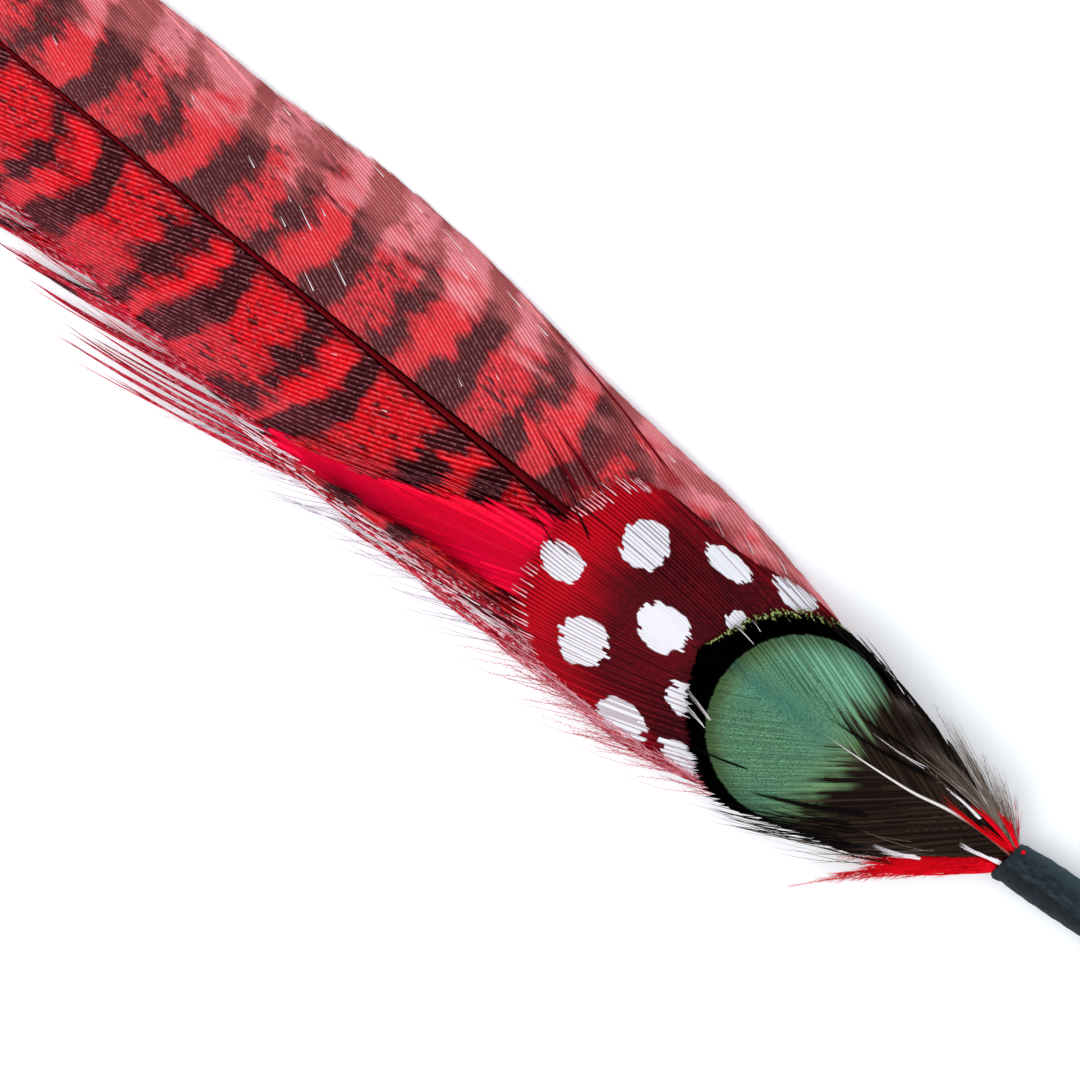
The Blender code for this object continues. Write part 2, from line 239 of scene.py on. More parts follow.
def put(tree, kind, *values, give=None, **settings):
    """Add a node with its settings, link or set its inputs, and give one of its outputs.

    The values stand in the order of the inputs, or are one dict with the inputs' names. MIX takes
    an amount and two colours. EASE brings a value smoothly from 0 at a first place to 1 at a
    second, or from one given end to the other. Text that starts with # is an sRGB colour.
    """
    name, fixed, order, output = KINDS.get(kind, (kind, {}, (), 0))
    node = tree.nodes.new(name)
    for key, value in {**fixed, **settings}.items():
        setattr(node, key, value)
    feeds = values[0] if values and isinstance(values[0], dict) else dict(zip(order, values))
    for socket, feed in feeds.items():
        if isinstance(feed, bpy.types.NodeSocket):
            tree.links.new(feed, node.inputs[socket])
        else:
            hexed = isinstance(feed, str) and feed.startswith("#")
            node.inputs[socket].default_value = linear(feed) if hexed else feed
    return node.outputs[output if give is None else give] if node.outputs else None


def sweep_tree():
    """Geometry Nodes that turn centre lines into ridged threads, closed at both ends."""
    tree = bpy.data.node_groups.get("thread sweep")
    if tree:
        return tree
    tree = bpy.data.node_groups.new("thread sweep", "GeometryNodeTree")
    face = tree.interface
    face.new_socket("Lines", in_out="INPUT", socket_type="NodeSocketGeometry")
    face.new_socket("Crest", in_out="INPUT", socket_type="NodeSocketFloat")
    face.new_socket("Keel", in_out="INPUT", socket_type="NodeSocketFloat")
    face.new_socket("Finish", in_out="INPUT", socket_type="NodeSocketMaterial")
    face.new_socket("Threads", in_out="OUTPUT", socket_type="NodeSocketGeometry")
    given = put(tree, "NodeGroupInput").node.outputs
    line = put(tree, "GeometryNodeMeshToCurve", {"Mesh": given["Lines"]})
    upright = put(tree, "GeometryNodeSetCurveNormal", {"Curve": line}, mode="Z_UP")
    width = put(tree, "GeometryNodeInputNamedAttribute", {"Name": "half_width"}, data_type="FLOAT")
    # The profile's Y axis points down here, so the crest is its bottom height
    kite = put(tree, "GeometryNodeCurvePrimitiveQuadrilateral",
               {"Width": 2.0, "Bottom Height": given["Crest"], "Top Height": given["Keel"]},
               mode="KITE")
    spot = put(tree, "GeometryNodeInputPosition")
    across = put(tree, "ShaderNodeSeparateXYZ", {"Vector": spot})
    marked = put(tree, "GeometryNodeStoreNamedAttribute",
                 {"Geometry": kite, "Name": "across", "Value": across}, data_type="FLOAT",
                 domain="POINT")
    swept = put(tree, "GeometryNodeCurveToMesh",
                {"Curve": upright, "Profile Curve": marked, "Scale": width, "Fill Caps": True})
    whole = put(tree, "GeometryNodeRealizeInstances", {"Geometry": swept})
    finished = put(tree, "GeometryNodeSetMaterial", {"Geometry": whole, "Material": given["Finish"]})
    put(tree, "NodeGroupOutput", {"Threads": finished})
    return tree


def bake_map(mesh):
    """Lay the mesh out flat for a texture: faces that look up in one half, the rest in the other."""
    layer = mesh.uv_layers.new(name="OFBake")
    corners = np.empty(len(mesh.loops), int)
    mesh.loops.foreach_get("vertex_index", corners)
    places = np.empty(len(mesh.vertices) * 3)
    mesh.vertices.foreach_get("co", places)
    places = places.reshape(-1, 3)[:, :2]
    low, high = places.min(axis=0), places.max(axis=0)
    flat = (places - low) / np.maximum(high - low, 1e-6)
    normals = np.empty(len(mesh.polygons) * 3)
    mesh.polygons.foreach_get("normal", normals)
    sizes = np.empty(len(mesh.polygons), int)
    mesh.polygons.foreach_get("loop_total", sizes)
    up = np.repeat(normals.reshape(-1, 3)[:, 2] >= 0, sizes)
    uv = flat[corners]
    uv = np.stack((uv[:, 0] * 0.98 + 0.01, uv[:, 1] * 0.48 + np.where(up, 0.51, 0.01)), axis=1)
    layer.data.foreach_set("uv", uv.ravel())


def settle(name, mesh, node):
    """Show a finished mesh as a piece that stands for a node and rides with it."""
    piece = bpy.data.objects.new(name, mesh)
    bpy.context.scene.collection.objects.link(piece)
    bake_map(mesh)
    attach(piece, "root")
    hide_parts(node)


# Profiles of a thread: height of its crest and depth of its keel, in half widths
ROUND = (0.5, 0.5)
SLIM = (0.4, 0.4)
QUILL = (0.8, 0.8)
TAIL_QUILL = (0.9, 0.9)
TAIL_WEB = (0.09, 0.3)
PLAIN_WEB = (0.08, 0.25)
GUINEA_WEB = (0.16, 0.3)
GREEN_WEB = (0.06, 0.3)


def weave(name, threads, profile, finish, part):
    """Sweep threads into one plain mesh and show it as a piece of a part."""
    starts = np.cumsum([0] + [len(points) for points in threads.points])
    edges = [(i, i + 1) for a, b in zip(starts[:-1], starts[1:]) for i in range(a, b - 1)]
    places = (np.vstack(threads.points) + MOUTH) * MM
    lines = bpy.data.meshes.new(name + " lines")
    lines.from_pydata(places.tolist(), edges, [])
    fields = {"half_width": np.concatenate(threads.widths) * MM}
    fields.update({key: np.concatenate(value) for key, value in threads.marks.items()})
    for key, value in fields.items():
        lines.attributes.new(key, "FLOAT", "POINT").data.foreach_set("value", value)
    source = bpy.data.objects.new(name + " lines", lines)
    bpy.context.scene.collection.objects.link(source)
    sweep = source.modifiers.new("sweep", "NODES")
    sweep.node_group = sweep_tree()
    ids = {item.name: item.identifier for item in sweep.node_group.interface.items_tree
           if item.in_out == "INPUT"}
    sweep[ids["Crest"]], sweep[ids["Keel"]] = profile
    sweep[ids["Finish"]] = finish
    depsgraph = bpy.context.evaluated_depsgraph_get()
    mesh = bpy.data.meshes.new_from_object(source.evaluated_get(depsgraph))
    bpy.data.objects.remove(source)
    bpy.data.meshes.remove(lines)
    mesh.name = name
    mesh.shade_smooth()
    settle(name, mesh, part)


def comb(threads, plume, side, pitch, half_width, rng, steps=20, clump=(5, 24), pull=0.2,
         fray=0.03, shift=0.35, even=0.0):
    """Add the barbs of one vane in clumps that part at the margin.

    They leave the shaft evenly, or, as even goes to 1, reach the margin evenly. A clump closes up
    by at most pull, a barb falls short of the margin by at most fray, and shift is how far the
    finish's pattern steps from barb to barb, in millimetres.
    """
    dense = np.linspace(0, 1, 400)
    places = plume.root(dense, side)
    count = int((places[-1] - places[0]) / pitch)
    share = np.interp(np.linspace(places[0], places[-1], count + 1)[1:], places, dense)
    share += even * (np.linspace(0, 1, count + 1)[1:] - share)
    breaks = np.cumsum(rng.integers(*clump, count))
    group = np.searchsorted(breaks[breaks < count - 2], np.arange(count), side="right")
    groups = group.max() + 1
    centre = np.array([share[group == g].mean() for g in range(groups)])[group]
    pulls = (pull * rng.random(groups) ** 2)[group]
    out = (1 - fray * rng.random(count))[:, None] * np.linspace(0, 1, steps)
    shares = share[:, None] + ((centre - share) * pulls)[:, None] * out ** 3
    plan = plume.barb(np.clip(shares, 0, 1), out, side)
    z = plume.height(plan[..., 0].ravel(), plan[..., 1].ravel()).reshape(out.shape)
    t = np.linspace(0, 1, steps)
    taper = (1 - 0.25 * t) * np.sqrt(1 - t ** 12) + 0.04
    for i in range(count):
        lift = np.linspace(0, 0.04 * rng.random(), steps)
        threads.add(np.column_stack((plan[i], z[i] + lift)), half_width * taper,
                    shift * rng.normal(), rng.random())


def bend(start, end, bow, share):
    """Plan of a loose barb's points at shares of its length, bulging by a part of that length."""
    start, end = np.array(start, float), np.array(end, float)
    chord = end - start
    outward = np.array((-chord[1], chord[0])) * (1 if chord[1] >= 0 else -1)
    middle = (start + end) / 2 + bow * outward
    t = np.asarray(share)[:, None]
    return (1 - t) ** 2 * start + 2 * t * (1 - t) * middle + t * t * end


def stray(threads, height, start, end, bow, half_width, rng, steps=12, rise=0.2):
    """Add one loose thread, which leaves at a slope and bends over towards its end."""
    t = np.linspace(0, 1, steps)
    plan = bend(start, end, bow, t)
    z = height(plan[:, 0], plan[:, 1]) + rise * np.sqrt(t)
    taper = (1 - 0.75 * t) * np.sqrt(1 - t ** 10) + 0.04
    threads.add(np.column_stack((plan, z)), half_width * taper, 0.15 * rng.normal(), rng.random())


def lock(threads, height, start, end, count, base, tip, half_width, rng, bow=0.05, rise=0.2):
    """Add loose threads that leave along a stretch of the margin and close up towards one end."""
    start, end = np.array(start, float), np.array(end, float)
    for i in range(count):
        along_base = (i + 0.5) / count - 0.5
        first = start + np.array((along_base * base, 0.06 * rng.normal()))
        last = (end + np.array((rng.normal(), 0.35 * rng.normal())) * tip
                - (end - start) * 0.3 * rng.random() ** 2)
        stray(threads, height, first, last, bow * (0.7 + 0.6 * rng.random()),
              half_width * (0.7 + 0.6 * rng.random()), rng, rise=rise * (0.5 + rng.random()))


def downy(threads, height, start, end, bow, half_width, rng, reach=0.8, gap=0.3, rise=0.2):
    """Add one downy barb: a loose thread with finer threads along both of its sides."""
    stray(threads, height, start, end, bow, half_width, rng, rise=rise)
    length = np.hypot(*np.subtract(end, start))
    shares = np.arange(0.12, 0.97, gap / length) + 0.3 * gap / length * rng.random()
    stops = bend(start, end, bow, shares)
    ahead = bend(start, end, bow, shares + 0.01) - stops
    for i, (stop, step) in enumerate(zip(stops, ahead)):
        turn = (0.25 + 0.4 * rng.random()) * (1 if i % 2 else -1)
        size = reach * (1 - 0.5 * shares[i]) * (0.5 + rng.random()) / np.hypot(*step)
        tip = stop + size * np.array((step[0] * np.cos(turn) - step[1] * np.sin(turn),
                                      step[0] * np.sin(turn) + step[1] * np.cos(turn)))
        stray(threads, height, stop, tip, 0.05 * rng.normal(), half_width * 0.45, rng, steps=4,
              rise=rise * (0.4 + rng.random()))


def shaft_threads(plume, start, end, steps=60):
    """The shaft of a feather from start to end along X, as one thick thread."""
    threads = Threads()
    x = np.linspace(start, end, steps)
    sizes = np.array(plume.radii, float)
    y = plume.shaft(x)[0]
    threads.add(np.column_stack((x, y, plume.height(x, y))), hermite(sizes[:, 0], sizes[:, 1], x), 0.0,
                0.5)
    return threads


def new_finish(name, roughness, specular):
    """A finish with its shader, and its plan in millimetres from the stem's mouth."""
    material = bpy.data.materials.new(name)
    material.use_nodes = True
    tree = material.node_tree
    shader = tree.nodes["Principled BSDF"]
    shader.inputs["Roughness"].default_value = roughness
    shader.inputs["Specular IOR Level"].default_value = specular
    spot = put(tree, "ShaderNodeTexCoord", give="Object")
    plan = put(tree, "ShaderNodeMapping",
               {"Vector": spot, "Location": tuple(-MOUTH), "Scale": (1 / MM,) * 3})
    return material, tree, shader, plan


def cloud(tree, plan, scale, detail=2.0, slant=0.0, stretch=1.0, shift=None):
    """Noise of a scale per millimetre, turned to the barbs and drawn out along them."""
    turned = put(tree, "ShaderNodeMapping",
                 {"Vector": plan, "Rotation": (0, 0, -slant), "Scale": (1 / stretch, 1, 1)})
    if shift is not None:
        step = put(tree, "ShaderNodeCombineXYZ", {"X": shift})
        turned = put(tree, "ShaderNodeVectorMath", {0: turned, 1: step}, operation="ADD")
    return put(tree, "ShaderNodeTexNoise", {"Vector": turned, "Scale": scale, "Detail": detail})


def ridge(tree, colour, crest, amount, plan, width=0.3, slant=0.0):
    """Show the barb's pale shaft along the crest of its thread, with painted highlights that break it
    into glints.
    """
    size = put(tree, "ABSOLUTE", put(tree, "across"))
    line = put(tree, "EASE", size, width, width * 0.2)
    glint = put(tree, "EASE", cloud(tree, plan, 4.0, 1.0, slant, 1.8), 0.42, 0.62, 0.15, 1.0)
    shown = put(tree, "MULTIPLY", put(tree, "MULTIPLY", line, glint), amount)
    return put(tree, "MIX", shown, colour, crest)


@dataclass
class Dye:
    """Colours and bars of one vane of the tail feather, in millimetres."""
    side: int
    bar: str
    crest: str                   # the barbs' own shafts, with painted highlights along them
    pale: str                    # the red and the bars towards the margin, paler there as painted light through it
    pale_bar: str
    crest_amount: float
    margin_light_amount: float
    shaft_shade_reach: float            # share of a barb darkened by painted shadow beside the shaft
    shaft_shade_amount: float
    groove_shade_amount: float
    first: float                 # middle of one main bar at the shaft
    period: float
    main: float                  # half widths of the main and the broken bar
    broken: float
    after: float                 # from a main bar to the next broken one
    bend: tuple                  # how the bars bend with the distance from the shaft


BARB_SLANT = 0.36              # angle of the tail's barbs to its shaft, in radians


def tail_finish(dye, red):
    """Dyed pheasant tail vane: dark bars and blotches that step from barb to barb.

    Feather keratin is silky along the barb and matt across it, and dye leaves the barb's own shaft
    paler than the web between, with painted highlights along it.
    """
    name = "dyed pheasant vane, " + ("loose side" if dye.side > 0 else "neat side")
    material, tree, shader, plan = new_finish(name, 0.55, 0.06 if dye.side > 0 else 0.2)
    shift = put(tree, "shift")
    x = put(tree, "ShaderNodeSeparateXYZ", {"Vector": plan})
    out = put(tree, "ABSOLUTE", x.node.outputs["Y"])
    past = put(tree, "MAXIMUM", put(tree, "SUBTRACT", out, dye.bend[0]), dye.bend[1])
    bent = put(tree, "MULTIPLY", put(tree, "MULTIPLY", past, past), -dye.bend[2])
    slant = dye.side * BARB_SLANT
    wide = put(tree, "EASE", cloud(tree, plan, 0.22, 1.0), 0.2, 0.8, -0.9, 0.9)
    place = put(tree, "ADD", put(tree, "ADD", x, bent), put(tree, "ADD", wide, shift))
    ragged = cloud(tree, plan, 0.5, 2.0, slant, 1.3, put(tree, "MULTIPLY", shift, 0.5))
    blotch = cloud(tree, plan, 0.62, 2.0, slant, 1.9, put(tree, "MULTIPLY", shift, 2.0))
    fine = cloud(tree, plan, 3.6, 1.0, slant, 1.8)
    darks = []
    # A main and a broken bar: middle, half width, noise, how far it swings the edge, softness
    for middle, half, noise, swing, soft in ((0.0, dye.main, ragged, 1.8, 0.6),
                                             (dye.after, dye.broken, blotch, 6.2, 1.1)):
        turn = put(tree, "MULTIPLY_ADD", place, 1 / dye.period, 0.5 - (dye.first + middle) / dye.period)
        part = put(tree, "SUBTRACT", put(tree, "FRACT", turn), 0.5)
        off = put(tree, "MULTIPLY", put(tree, "ABSOLUTE", part), dye.period)
        edge = put(tree, "MULTIPLY_ADD", noise, swing, -swing / 2 - half)
        off = put(tree, "MULTIPLY_ADD", fine, 1.4 * soft, put(tree, "ADD", off, edge))
        darks.append(put(tree, "EASE", off, 1.6 * soft, -0.3 * soft))
    # Specks and a duller red fill the stretch between a broken bar and the next main one
    turn = put(tree, "MULTIPLY_ADD", place, 1 / dye.period, -dye.first / dye.period)
    turn = put(tree, "FRACT", turn)
    dull = put(tree, "EASE", turn, (dye.after + 1) / dye.period, (dye.after + 2.5) / dye.period)
    fleck = cloud(tree, plan, 1.5, 1.0, slant, 2.6, put(tree, "MULTIPLY", shift, 3.0))
    darks.append(put(tree, "MULTIPLY", put(tree, "EASE", fleck, 0.56, 0.7, 0.0, 0.9), dull))
    dark = put(tree, "MAXIMUM", put(tree, "MAXIMUM", *darks[:2]), darks[2])
    dark = put(tree, "MULTIPLY", dark, put(tree, "EASE", x, 43.0, 50.0, 0.55, 1.0))
    streak = put(tree, "EASE", cloud(tree, plan, 0.8, 2.0, slant * 0.6, 5.0), 0.47, 0.57, 0.0, 0.9)
    dark = put(tree, "MAXIMUM", dark, put(tree, "MULTIPLY", streak, put(tree, "EASE", x, 52.0, 46.0)))
    share = put(tree, "share")
    # Painted light: the thin margin turns paler, in patches, where light comes through it
    patch = cloud(tree, plan, 0.62, 2.0, slant * 0.6, 2.8, put(tree, "MULTIPLY", shift, 0.6))
    margin_light = put(tree, "MULTIPLY_ADD", patch, 1.0, share)
    margin_light = put(tree, "EASE", margin_light, 0.88, 1.24, 0.0, dye.margin_light_amount)
    bars = put(tree, "MIX", margin_light, dye.bar, dye.pale_bar)
    duller = put(tree, "EASE", dull, 0.0, 1.0, 0.1, 0.45)
    mottle = put(tree, "MULTIPLY", put(tree, "EASE", fine, 0.3, 0.7), duller)
    mottle = put(tree, "MULTIPLY", mottle, put(tree, "EASE", margin_light, 0.0, 1.0, 1.0, 0.4))
    web = put(tree, "MIX", mottle, put(tree, "MIX", margin_light, red, dye.pale), bars)
    # Painted shadow of the shaft on the barbs beside it, wider and fainter on the neat side
    root = put(tree, "EASE", share, dye.shaft_shade_reach, 0.02, 0.0, dye.shaft_shade_amount)
    size = put(tree, "ABSOLUTE", put(tree, "across"))
    # Painted shade in the grooves between neighbouring barbs
    groove_shade = put(tree, "EASE", size, 0.4, 0.8, 0.0, dye.groove_shade_amount)
    for amount, tint in ((dark, bars), (root, dye.bar), (groove_shade, dye.bar)):
        web = put(tree, "MIX", amount, web, tint)
    colour = ridge(tree, web, dye.crest, dye.crest_amount, plan, 0.34, slant)
    # Tiny pale specks over the vane: painted glints
    pale_flecks = put(tree, "EASE", cloud(tree, plan, 4.4, 0.0), 0.76, 0.84, 0.0, 0.3)
    colour = put(tree, "MIX", pale_flecks, colour, dye.crest)
    tree.links.new(colour, shader.inputs["Base Color"])
    return material


def shaft_finish(name, middle, edge, specular=0.08):
    """Keratin shaft, dyed through and glossy, darker down its sides, partly by painted shade."""
    material, tree, shader = new_finish(name, 0.4, specular)[:3]
    size = put(tree, "ABSOLUTE", put(tree, "across"))
    colour = put(tree, "MIX", put(tree, "EASE", size, 0.35, 0.7), middle, edge)
    tree.links.new(colour, shader.inputs["Base Color"])
    return material


def plain_finish(dye):
    """Crimson-dyed hackle: soft and even, with hardly any ridge."""
    material, tree, shader, plan = new_finish("dyed hackle, crimson", 0.6, 0.05)
    uneven = cloud(tree, plan, 0.4, 3.0, 0.3, 3.0)
    web = put(tree, "MIX", put(tree, "EASE", uneven, 0.3, 0.7), dye, "#FF003C")
    web = put(tree, "MIX", put(tree, "EASE", put(tree, "share"), 0.75, 1.0, 0.0, 0.35), web, "#D80820")
    # Painted shade in the grooves between neighbouring barbs
    groove_shade = put(tree, "EASE", put(tree, "ABSOLUTE", put(tree, "across")), 0.5, 0.9, 0.0, 0.08)
    colour = ridge(tree, put(tree, "MIX", groove_shade, web, "#8C0010"), "#F84868", 0.15, plan)
    tree.links.new(colour, shader.inputs["Base Color"])
    return material


# Place of each white spot's middle, and half its length and width
GUINEA_SPOTS = (
    (44.6, 4.0, 2.0, 1.5), (40.1, -1.4, 2.0, 2.1), (33.8, -4.5, 2.3, 1.0), (39.0, 8.0, 2.1, 2.0),
    (34.7, 3.0, 2.3, 1.9), (28.0, -6.2, 2.0, 1.2), (29.6, 6.5, 1.6, 1.3), (32.6, 11.0, 2.4, 1.4),
    (26.7, 10.3, 2.0, 1.0), (30.3, -1.3, 0.8, 0.9), (22.5, 5.5, 1.5, 1.5), (6.9, 5.2, 1.6, 0.5),
    (2.8, 0.8, 1.2, 0.5), (6.4, -1.4, 1.6, 0.35))


def guinea_finish(dye, white):
    """Guinea fowl vane dyed red over its natural dark web, whose white spots stay undyed."""
    material, tree, shader, plan = new_finish("dyed guinea fowl vane", 0.55, 0.06)
    shift, share, tone = put(tree, "shift"), put(tree, "share"), put(tree, "tone")
    step = put(tree, "ShaderNodeCombineXYZ", {"X": shift})
    stepped = put(tree, "ShaderNodeVectorMath", {0: plan, 1: step}, operation="ADD")
    nearest = 9.0
    for x, y, long, wide in GUINEA_SPOTS:
        local = put(tree, "ShaderNodeMapping",
                    {"Vector": stepped, "Location": (-x / long, -y / wide, 0),
                     "Scale": (1 / long, 1 / wide, 0)})
        reach = put(tree, "ShaderNodeVectorMath", {0: local}, give="Value", operation="LENGTH")
        nearest = put(tree, "MINIMUM", reach, nearest)
    rough = cloud(tree, plan, 0.9, 1.0)
    spot = put(tree, "EASE", put(tree, "MULTIPLY_ADD", rough, 0.3, nearest), 1.19, 1.11)
    x = put(tree, "ShaderNodeSeparateXYZ", {"Vector": stepped})
    drift = put(tree, "MULTIPLY_ADD", cloud(tree, plan, 0.15, 1.0), 5.0, x)
    y = x.node.outputs["Y"]
    outer = put(tree, "MULTIPLY", put(tree, "EASE", share, 0.7, 0.97, 0.0, 0.8),
                put(tree, "EASE", y, -4.0, 3.0, 0.25, 1.0))
    lit = put(tree, "MAXIMUM", put(tree, "EASE", drift, 40.0, 46.5), outer)
    uneven = put(tree, "EASE", cloud(tree, plan, 0.18, 1.0), 0.35, 0.65)
    web = put(tree, "MIX", uneven, "#380007", "#54000A")
    shade = put(tree, "ShaderNodeVectorMath", {0: plan, 1: (34.0, -3.0, 0.0)}, give="Value",
                operation="DISTANCE")
    for amount, tint in ((put(tree, "EASE", shade, 5.0, 0.0, 0.0, 0.6), "#1C0406"), (lit, dye),
                         (put(tree, "EASE", x, 20.0, 12.0), "#1C0E0C")):
        web = put(tree, "MIX", amount, web, tint)
    web = ridge(tree, web, "#C41830", 0.2, plan, 0.22)
    # Painted shade in the grooves between barbs, over the dark web and over the white spots
    seam_shade = put(tree, "EASE", put(tree, "ABSOLUTE", put(tree, "across")), 0.35, 0.8)
    web = put(tree, "MIX", put(tree, "MULTIPLY", seam_shade, 0.45), web, "#240004")
    undyed = put(tree, "MIX", put(tree, "MULTIPLY", seam_shade, 0.5), white, "#985C6C")
    colour = put(tree, "MIX", spot, web, undyed)
    # A row of short white dashes stands just inside the tip's margin, on every other barb
    rim = put(tree, "MULTIPLY", put(tree, "EASE", share, 0.94, 0.95),
              put(tree, "EASE", share, 0.998, 0.99))
    near = put(tree, "MULTIPLY", rim, put(tree, "EASE", x, 42.0, 43.0))
    thin = put(tree, "EASE", put(tree, "ABSOLUTE", put(tree, "across")), 0.38, 0.22)
    aside = put(tree, "EASE", put(tree, "ABSOLUTE", put(tree, "SUBTRACT", y, 3.2)), 2.2, 3.0)
    dash = put(tree, "EASE", tone, 0.22, 0.26, 0.0, 0.8)
    for limit in (near, aside, thin):
        dash = put(tree, "MULTIPLY", dash, limit)
    colour = put(tree, "MIX", dash, colour, "#E8C8D0")
    tree.links.new(colour, shader.inputs["Base Color"])
    return material


GREEN_DISC = (20.6, 2.35, 7.85)        # place of its middle, and its radius
VELVET = "#010101"


def green_finish(disc):
    """Iridescent body feather: grainy metallic green, velvety black rim and brown foot."""
    material, tree, shader, plan = new_finish("iridescent body feather vane", 0.7, 0.0)
    x = put(tree, "ShaderNodeSeparateXYZ", {"Vector": plan})
    y = x.node.outputs["Y"]
    shift, share, tone = put(tree, "shift"), put(tree, "share"), put(tree, "tone")
    cx, cy, radius = GREEN_DISC
    local = put(tree, "ShaderNodeMapping",
                {"Vector": plan, "Location": (-cx / radius, -cy / radius, 0),
                 "Scale": (1 / radius, 1 / radius, 0)})
    reach = put(tree, "ShaderNodeVectorMath", {0: local}, give="Value", operation="LENGTH")
    reach = put(tree, "MULTIPLY_ADD", shift, 0.004, reach)
    grain = cloud(tree, plan, 8.5, 3.0)
    colour = put(tree, "MIX", put(tree, "EASE", grain, 0.3, 0.7), "#3A624A", disc)
    rim = put(tree, "MULTIPLY", put(tree, "EASE", reach, 0.7, 0.98),
              put(tree, "EASE", x, 20.0, 25.0, 0.15, 0.6))
    centre = put(tree, "ABSOLUTE", put(tree, "SUBTRACT", y, 1.6))
    # Pale on the -Y side, patchy, olive towards the tip's rim, teal along the middle and yellow
    # towards the foot, as its metal turns with the light, and then the black edge
    for amount, tint in ((put(tree, "EASE", y, 0.0, -3.5, 0.0, 0.7), "#88C6A4"),
                         (put(tree, "EASE", cloud(tree, plan, 0.2, 1.0), 0.35, 0.65, 0.0, 0.35),
                          "#447A6A"),
                         (rim, "#56662E"), (put(tree, "EASE", centre, 1.4, 0.0, 0.0, 0.32), "#174C52"),
                         (put(tree, "EASE", x, 20.0, 14.5, 0.0, 0.6), "#86A468"),
                         (put(tree, "EASE", reach, 0.8, 1.0, 0.0, 0.4), VELVET),
                         (put(tree, "EASE", reach, 0.985, 1.01), VELVET)):
        colour = put(tree, "MIX", amount, colour, tint)
    lace = put(tree, "MULTIPLY", put(tree, "EASE", share, 0.95, 0.975), put(tree, "EASE", y, 2.2, 1.2))
    speck = put(tree, "EASE", cloud(tree, plan, 4.5, 1.0), 0.48, 0.56, 0.05, 1.0)
    lace = put(tree, "MULTIPLY", put(tree, "MULTIPLY", lace, speck), put(tree, "EASE", x, 21.0, 23.0))
    colour = put(tree, "MIX", lace, colour, "#A8B470")
    foot = put(tree, "MULTIPLY_ADD", shift, 0.9, x)
    foot = put(tree, "MULTIPLY_ADD", cloud(tree, plan, 0.5, 2.0, 0.5, 2.5), 4.0, foot)
    foot = put(tree, "ADD", foot, put(tree, "EASE", y, 1.0, -1.0, 0.0, -1.4))
    foot = put(tree, "EASE", foot, 20.1, 16.8)
    brown = put(tree, "MIX", put(tree, "EASE", tone, 0.3, 0.95), "#1B1310", "#33271F")
    pale_flecks = put(tree, "EASE", cloud(tree, plan, 0.35, 3.0, 0.7, 3.0), 0.55, 0.75, 0.0, 0.6)
    brown = put(tree, "MIX", pale_flecks, brown, "#6A5C54")
    colour = put(tree, "MIX", foot, colour, brown)
    metal = put(tree, "MULTIPLY", put(tree, "EASE", reach, 1.0, 0.96),
                put(tree, "EASE", foot, 1.0, 0.0, 0.0, 0.35))
    tree.links.new(metal, shader.inputs["Metallic"])
    tree.links.new(colour, shader.inputs["Base Color"])
    return material


def thread_finish(name, low, high, speck=None, amount=0.0):
    """Fine dyed threads, each a little darker or paler than the next, speckled along them."""
    material, tree, shader, plan = new_finish(name, 0.7, 0.04)
    colour = put(tree, "MIX", put(tree, "tone"), low, high)
    if speck:
        grain = cloud(tree, plan, 5.0, 2.0, 0.15, 3.5)
        colour = put(tree, "MIX", put(tree, "EASE", grain, 0.52, 0.64, 0.0, amount), colour, speck)
        colour = put(tree, "MIX", put(tree, "EASE", grain, 0.42, 0.32, 0.0, amount), colour, "#4A0008")
    tree.links.new(colour, shader.inputs["Base Color"])
    return material


def tape_finish(paper):
    """Crepe florist's tape: waxed paper, matt and finely crinkled, with painted light down its -Y side
    and painted shade at its edge and lip.
    """
    material, tree, shader, plan = new_finish("waxed crepe paper tape", 0.75, 0.2)
    crinkle = cloud(tree, plan, 2.5, 4.0, stretch=1.6)
    colour = put(tree, "MIX", put(tree, "EASE", crinkle, 0.35, 0.75), "#121C22", paper)
    y = put(tree, "ShaderNodeSeparateXYZ", {"Vector": plan}, give="Y")
    # Painted light: the tape is paler down its -Y side
    colour = put(tree, "MIX", put(tree, "EASE", y, -1.0, -2.2, 0.0, 0.7), colour, "#33434B")
    # Painted shade under the tape's raised edge and inside its lip round the quills, carried by tone
    colour = put(tree, "MIX", put(tree, "MULTIPLY", put(tree, "tone"), 0.75), colour, "#040A0E")
    tree.links.new(colour, shader.inputs["Base Color"])
    bump = put(tree, "ShaderNodeBump", {"Height": crinkle, "Strength": 0.6, "Distance": 0.00015},
               give="Normal")
    tree.links.new(bump, shader.inputs["Normal"])
    return material


def pale_quill_finish():
    """Undyed keratin quill, chalky white past the red stain at its foot."""
    material, tree, shader, plan = new_finish("undyed quill, white", 0.45, 0.15)
    x = put(tree, "ShaderNodeSeparateXYZ", {"Vector": plan})
    colour = put(tree, "MIX", put(tree, "EASE", x, 4.5, 7.5), "#9A4A48", "#E8E0DC")
    colour = put(tree, "MIX", put(tree, "EASE", x, 14.0, 20.0), colour, "#4A7A6C")
    # Darker down the quill's sides, partly by painted shade
    size = put(tree, "ABSOLUTE", put(tree, "across"))
    colour = put(tree, "MIX", put(tree, "EASE", size, 0.3, 0.9, 0.0, 0.6), colour, "#3A2420")
    tree.links.new(colour, shader.inputs["Base Color"])
    return material


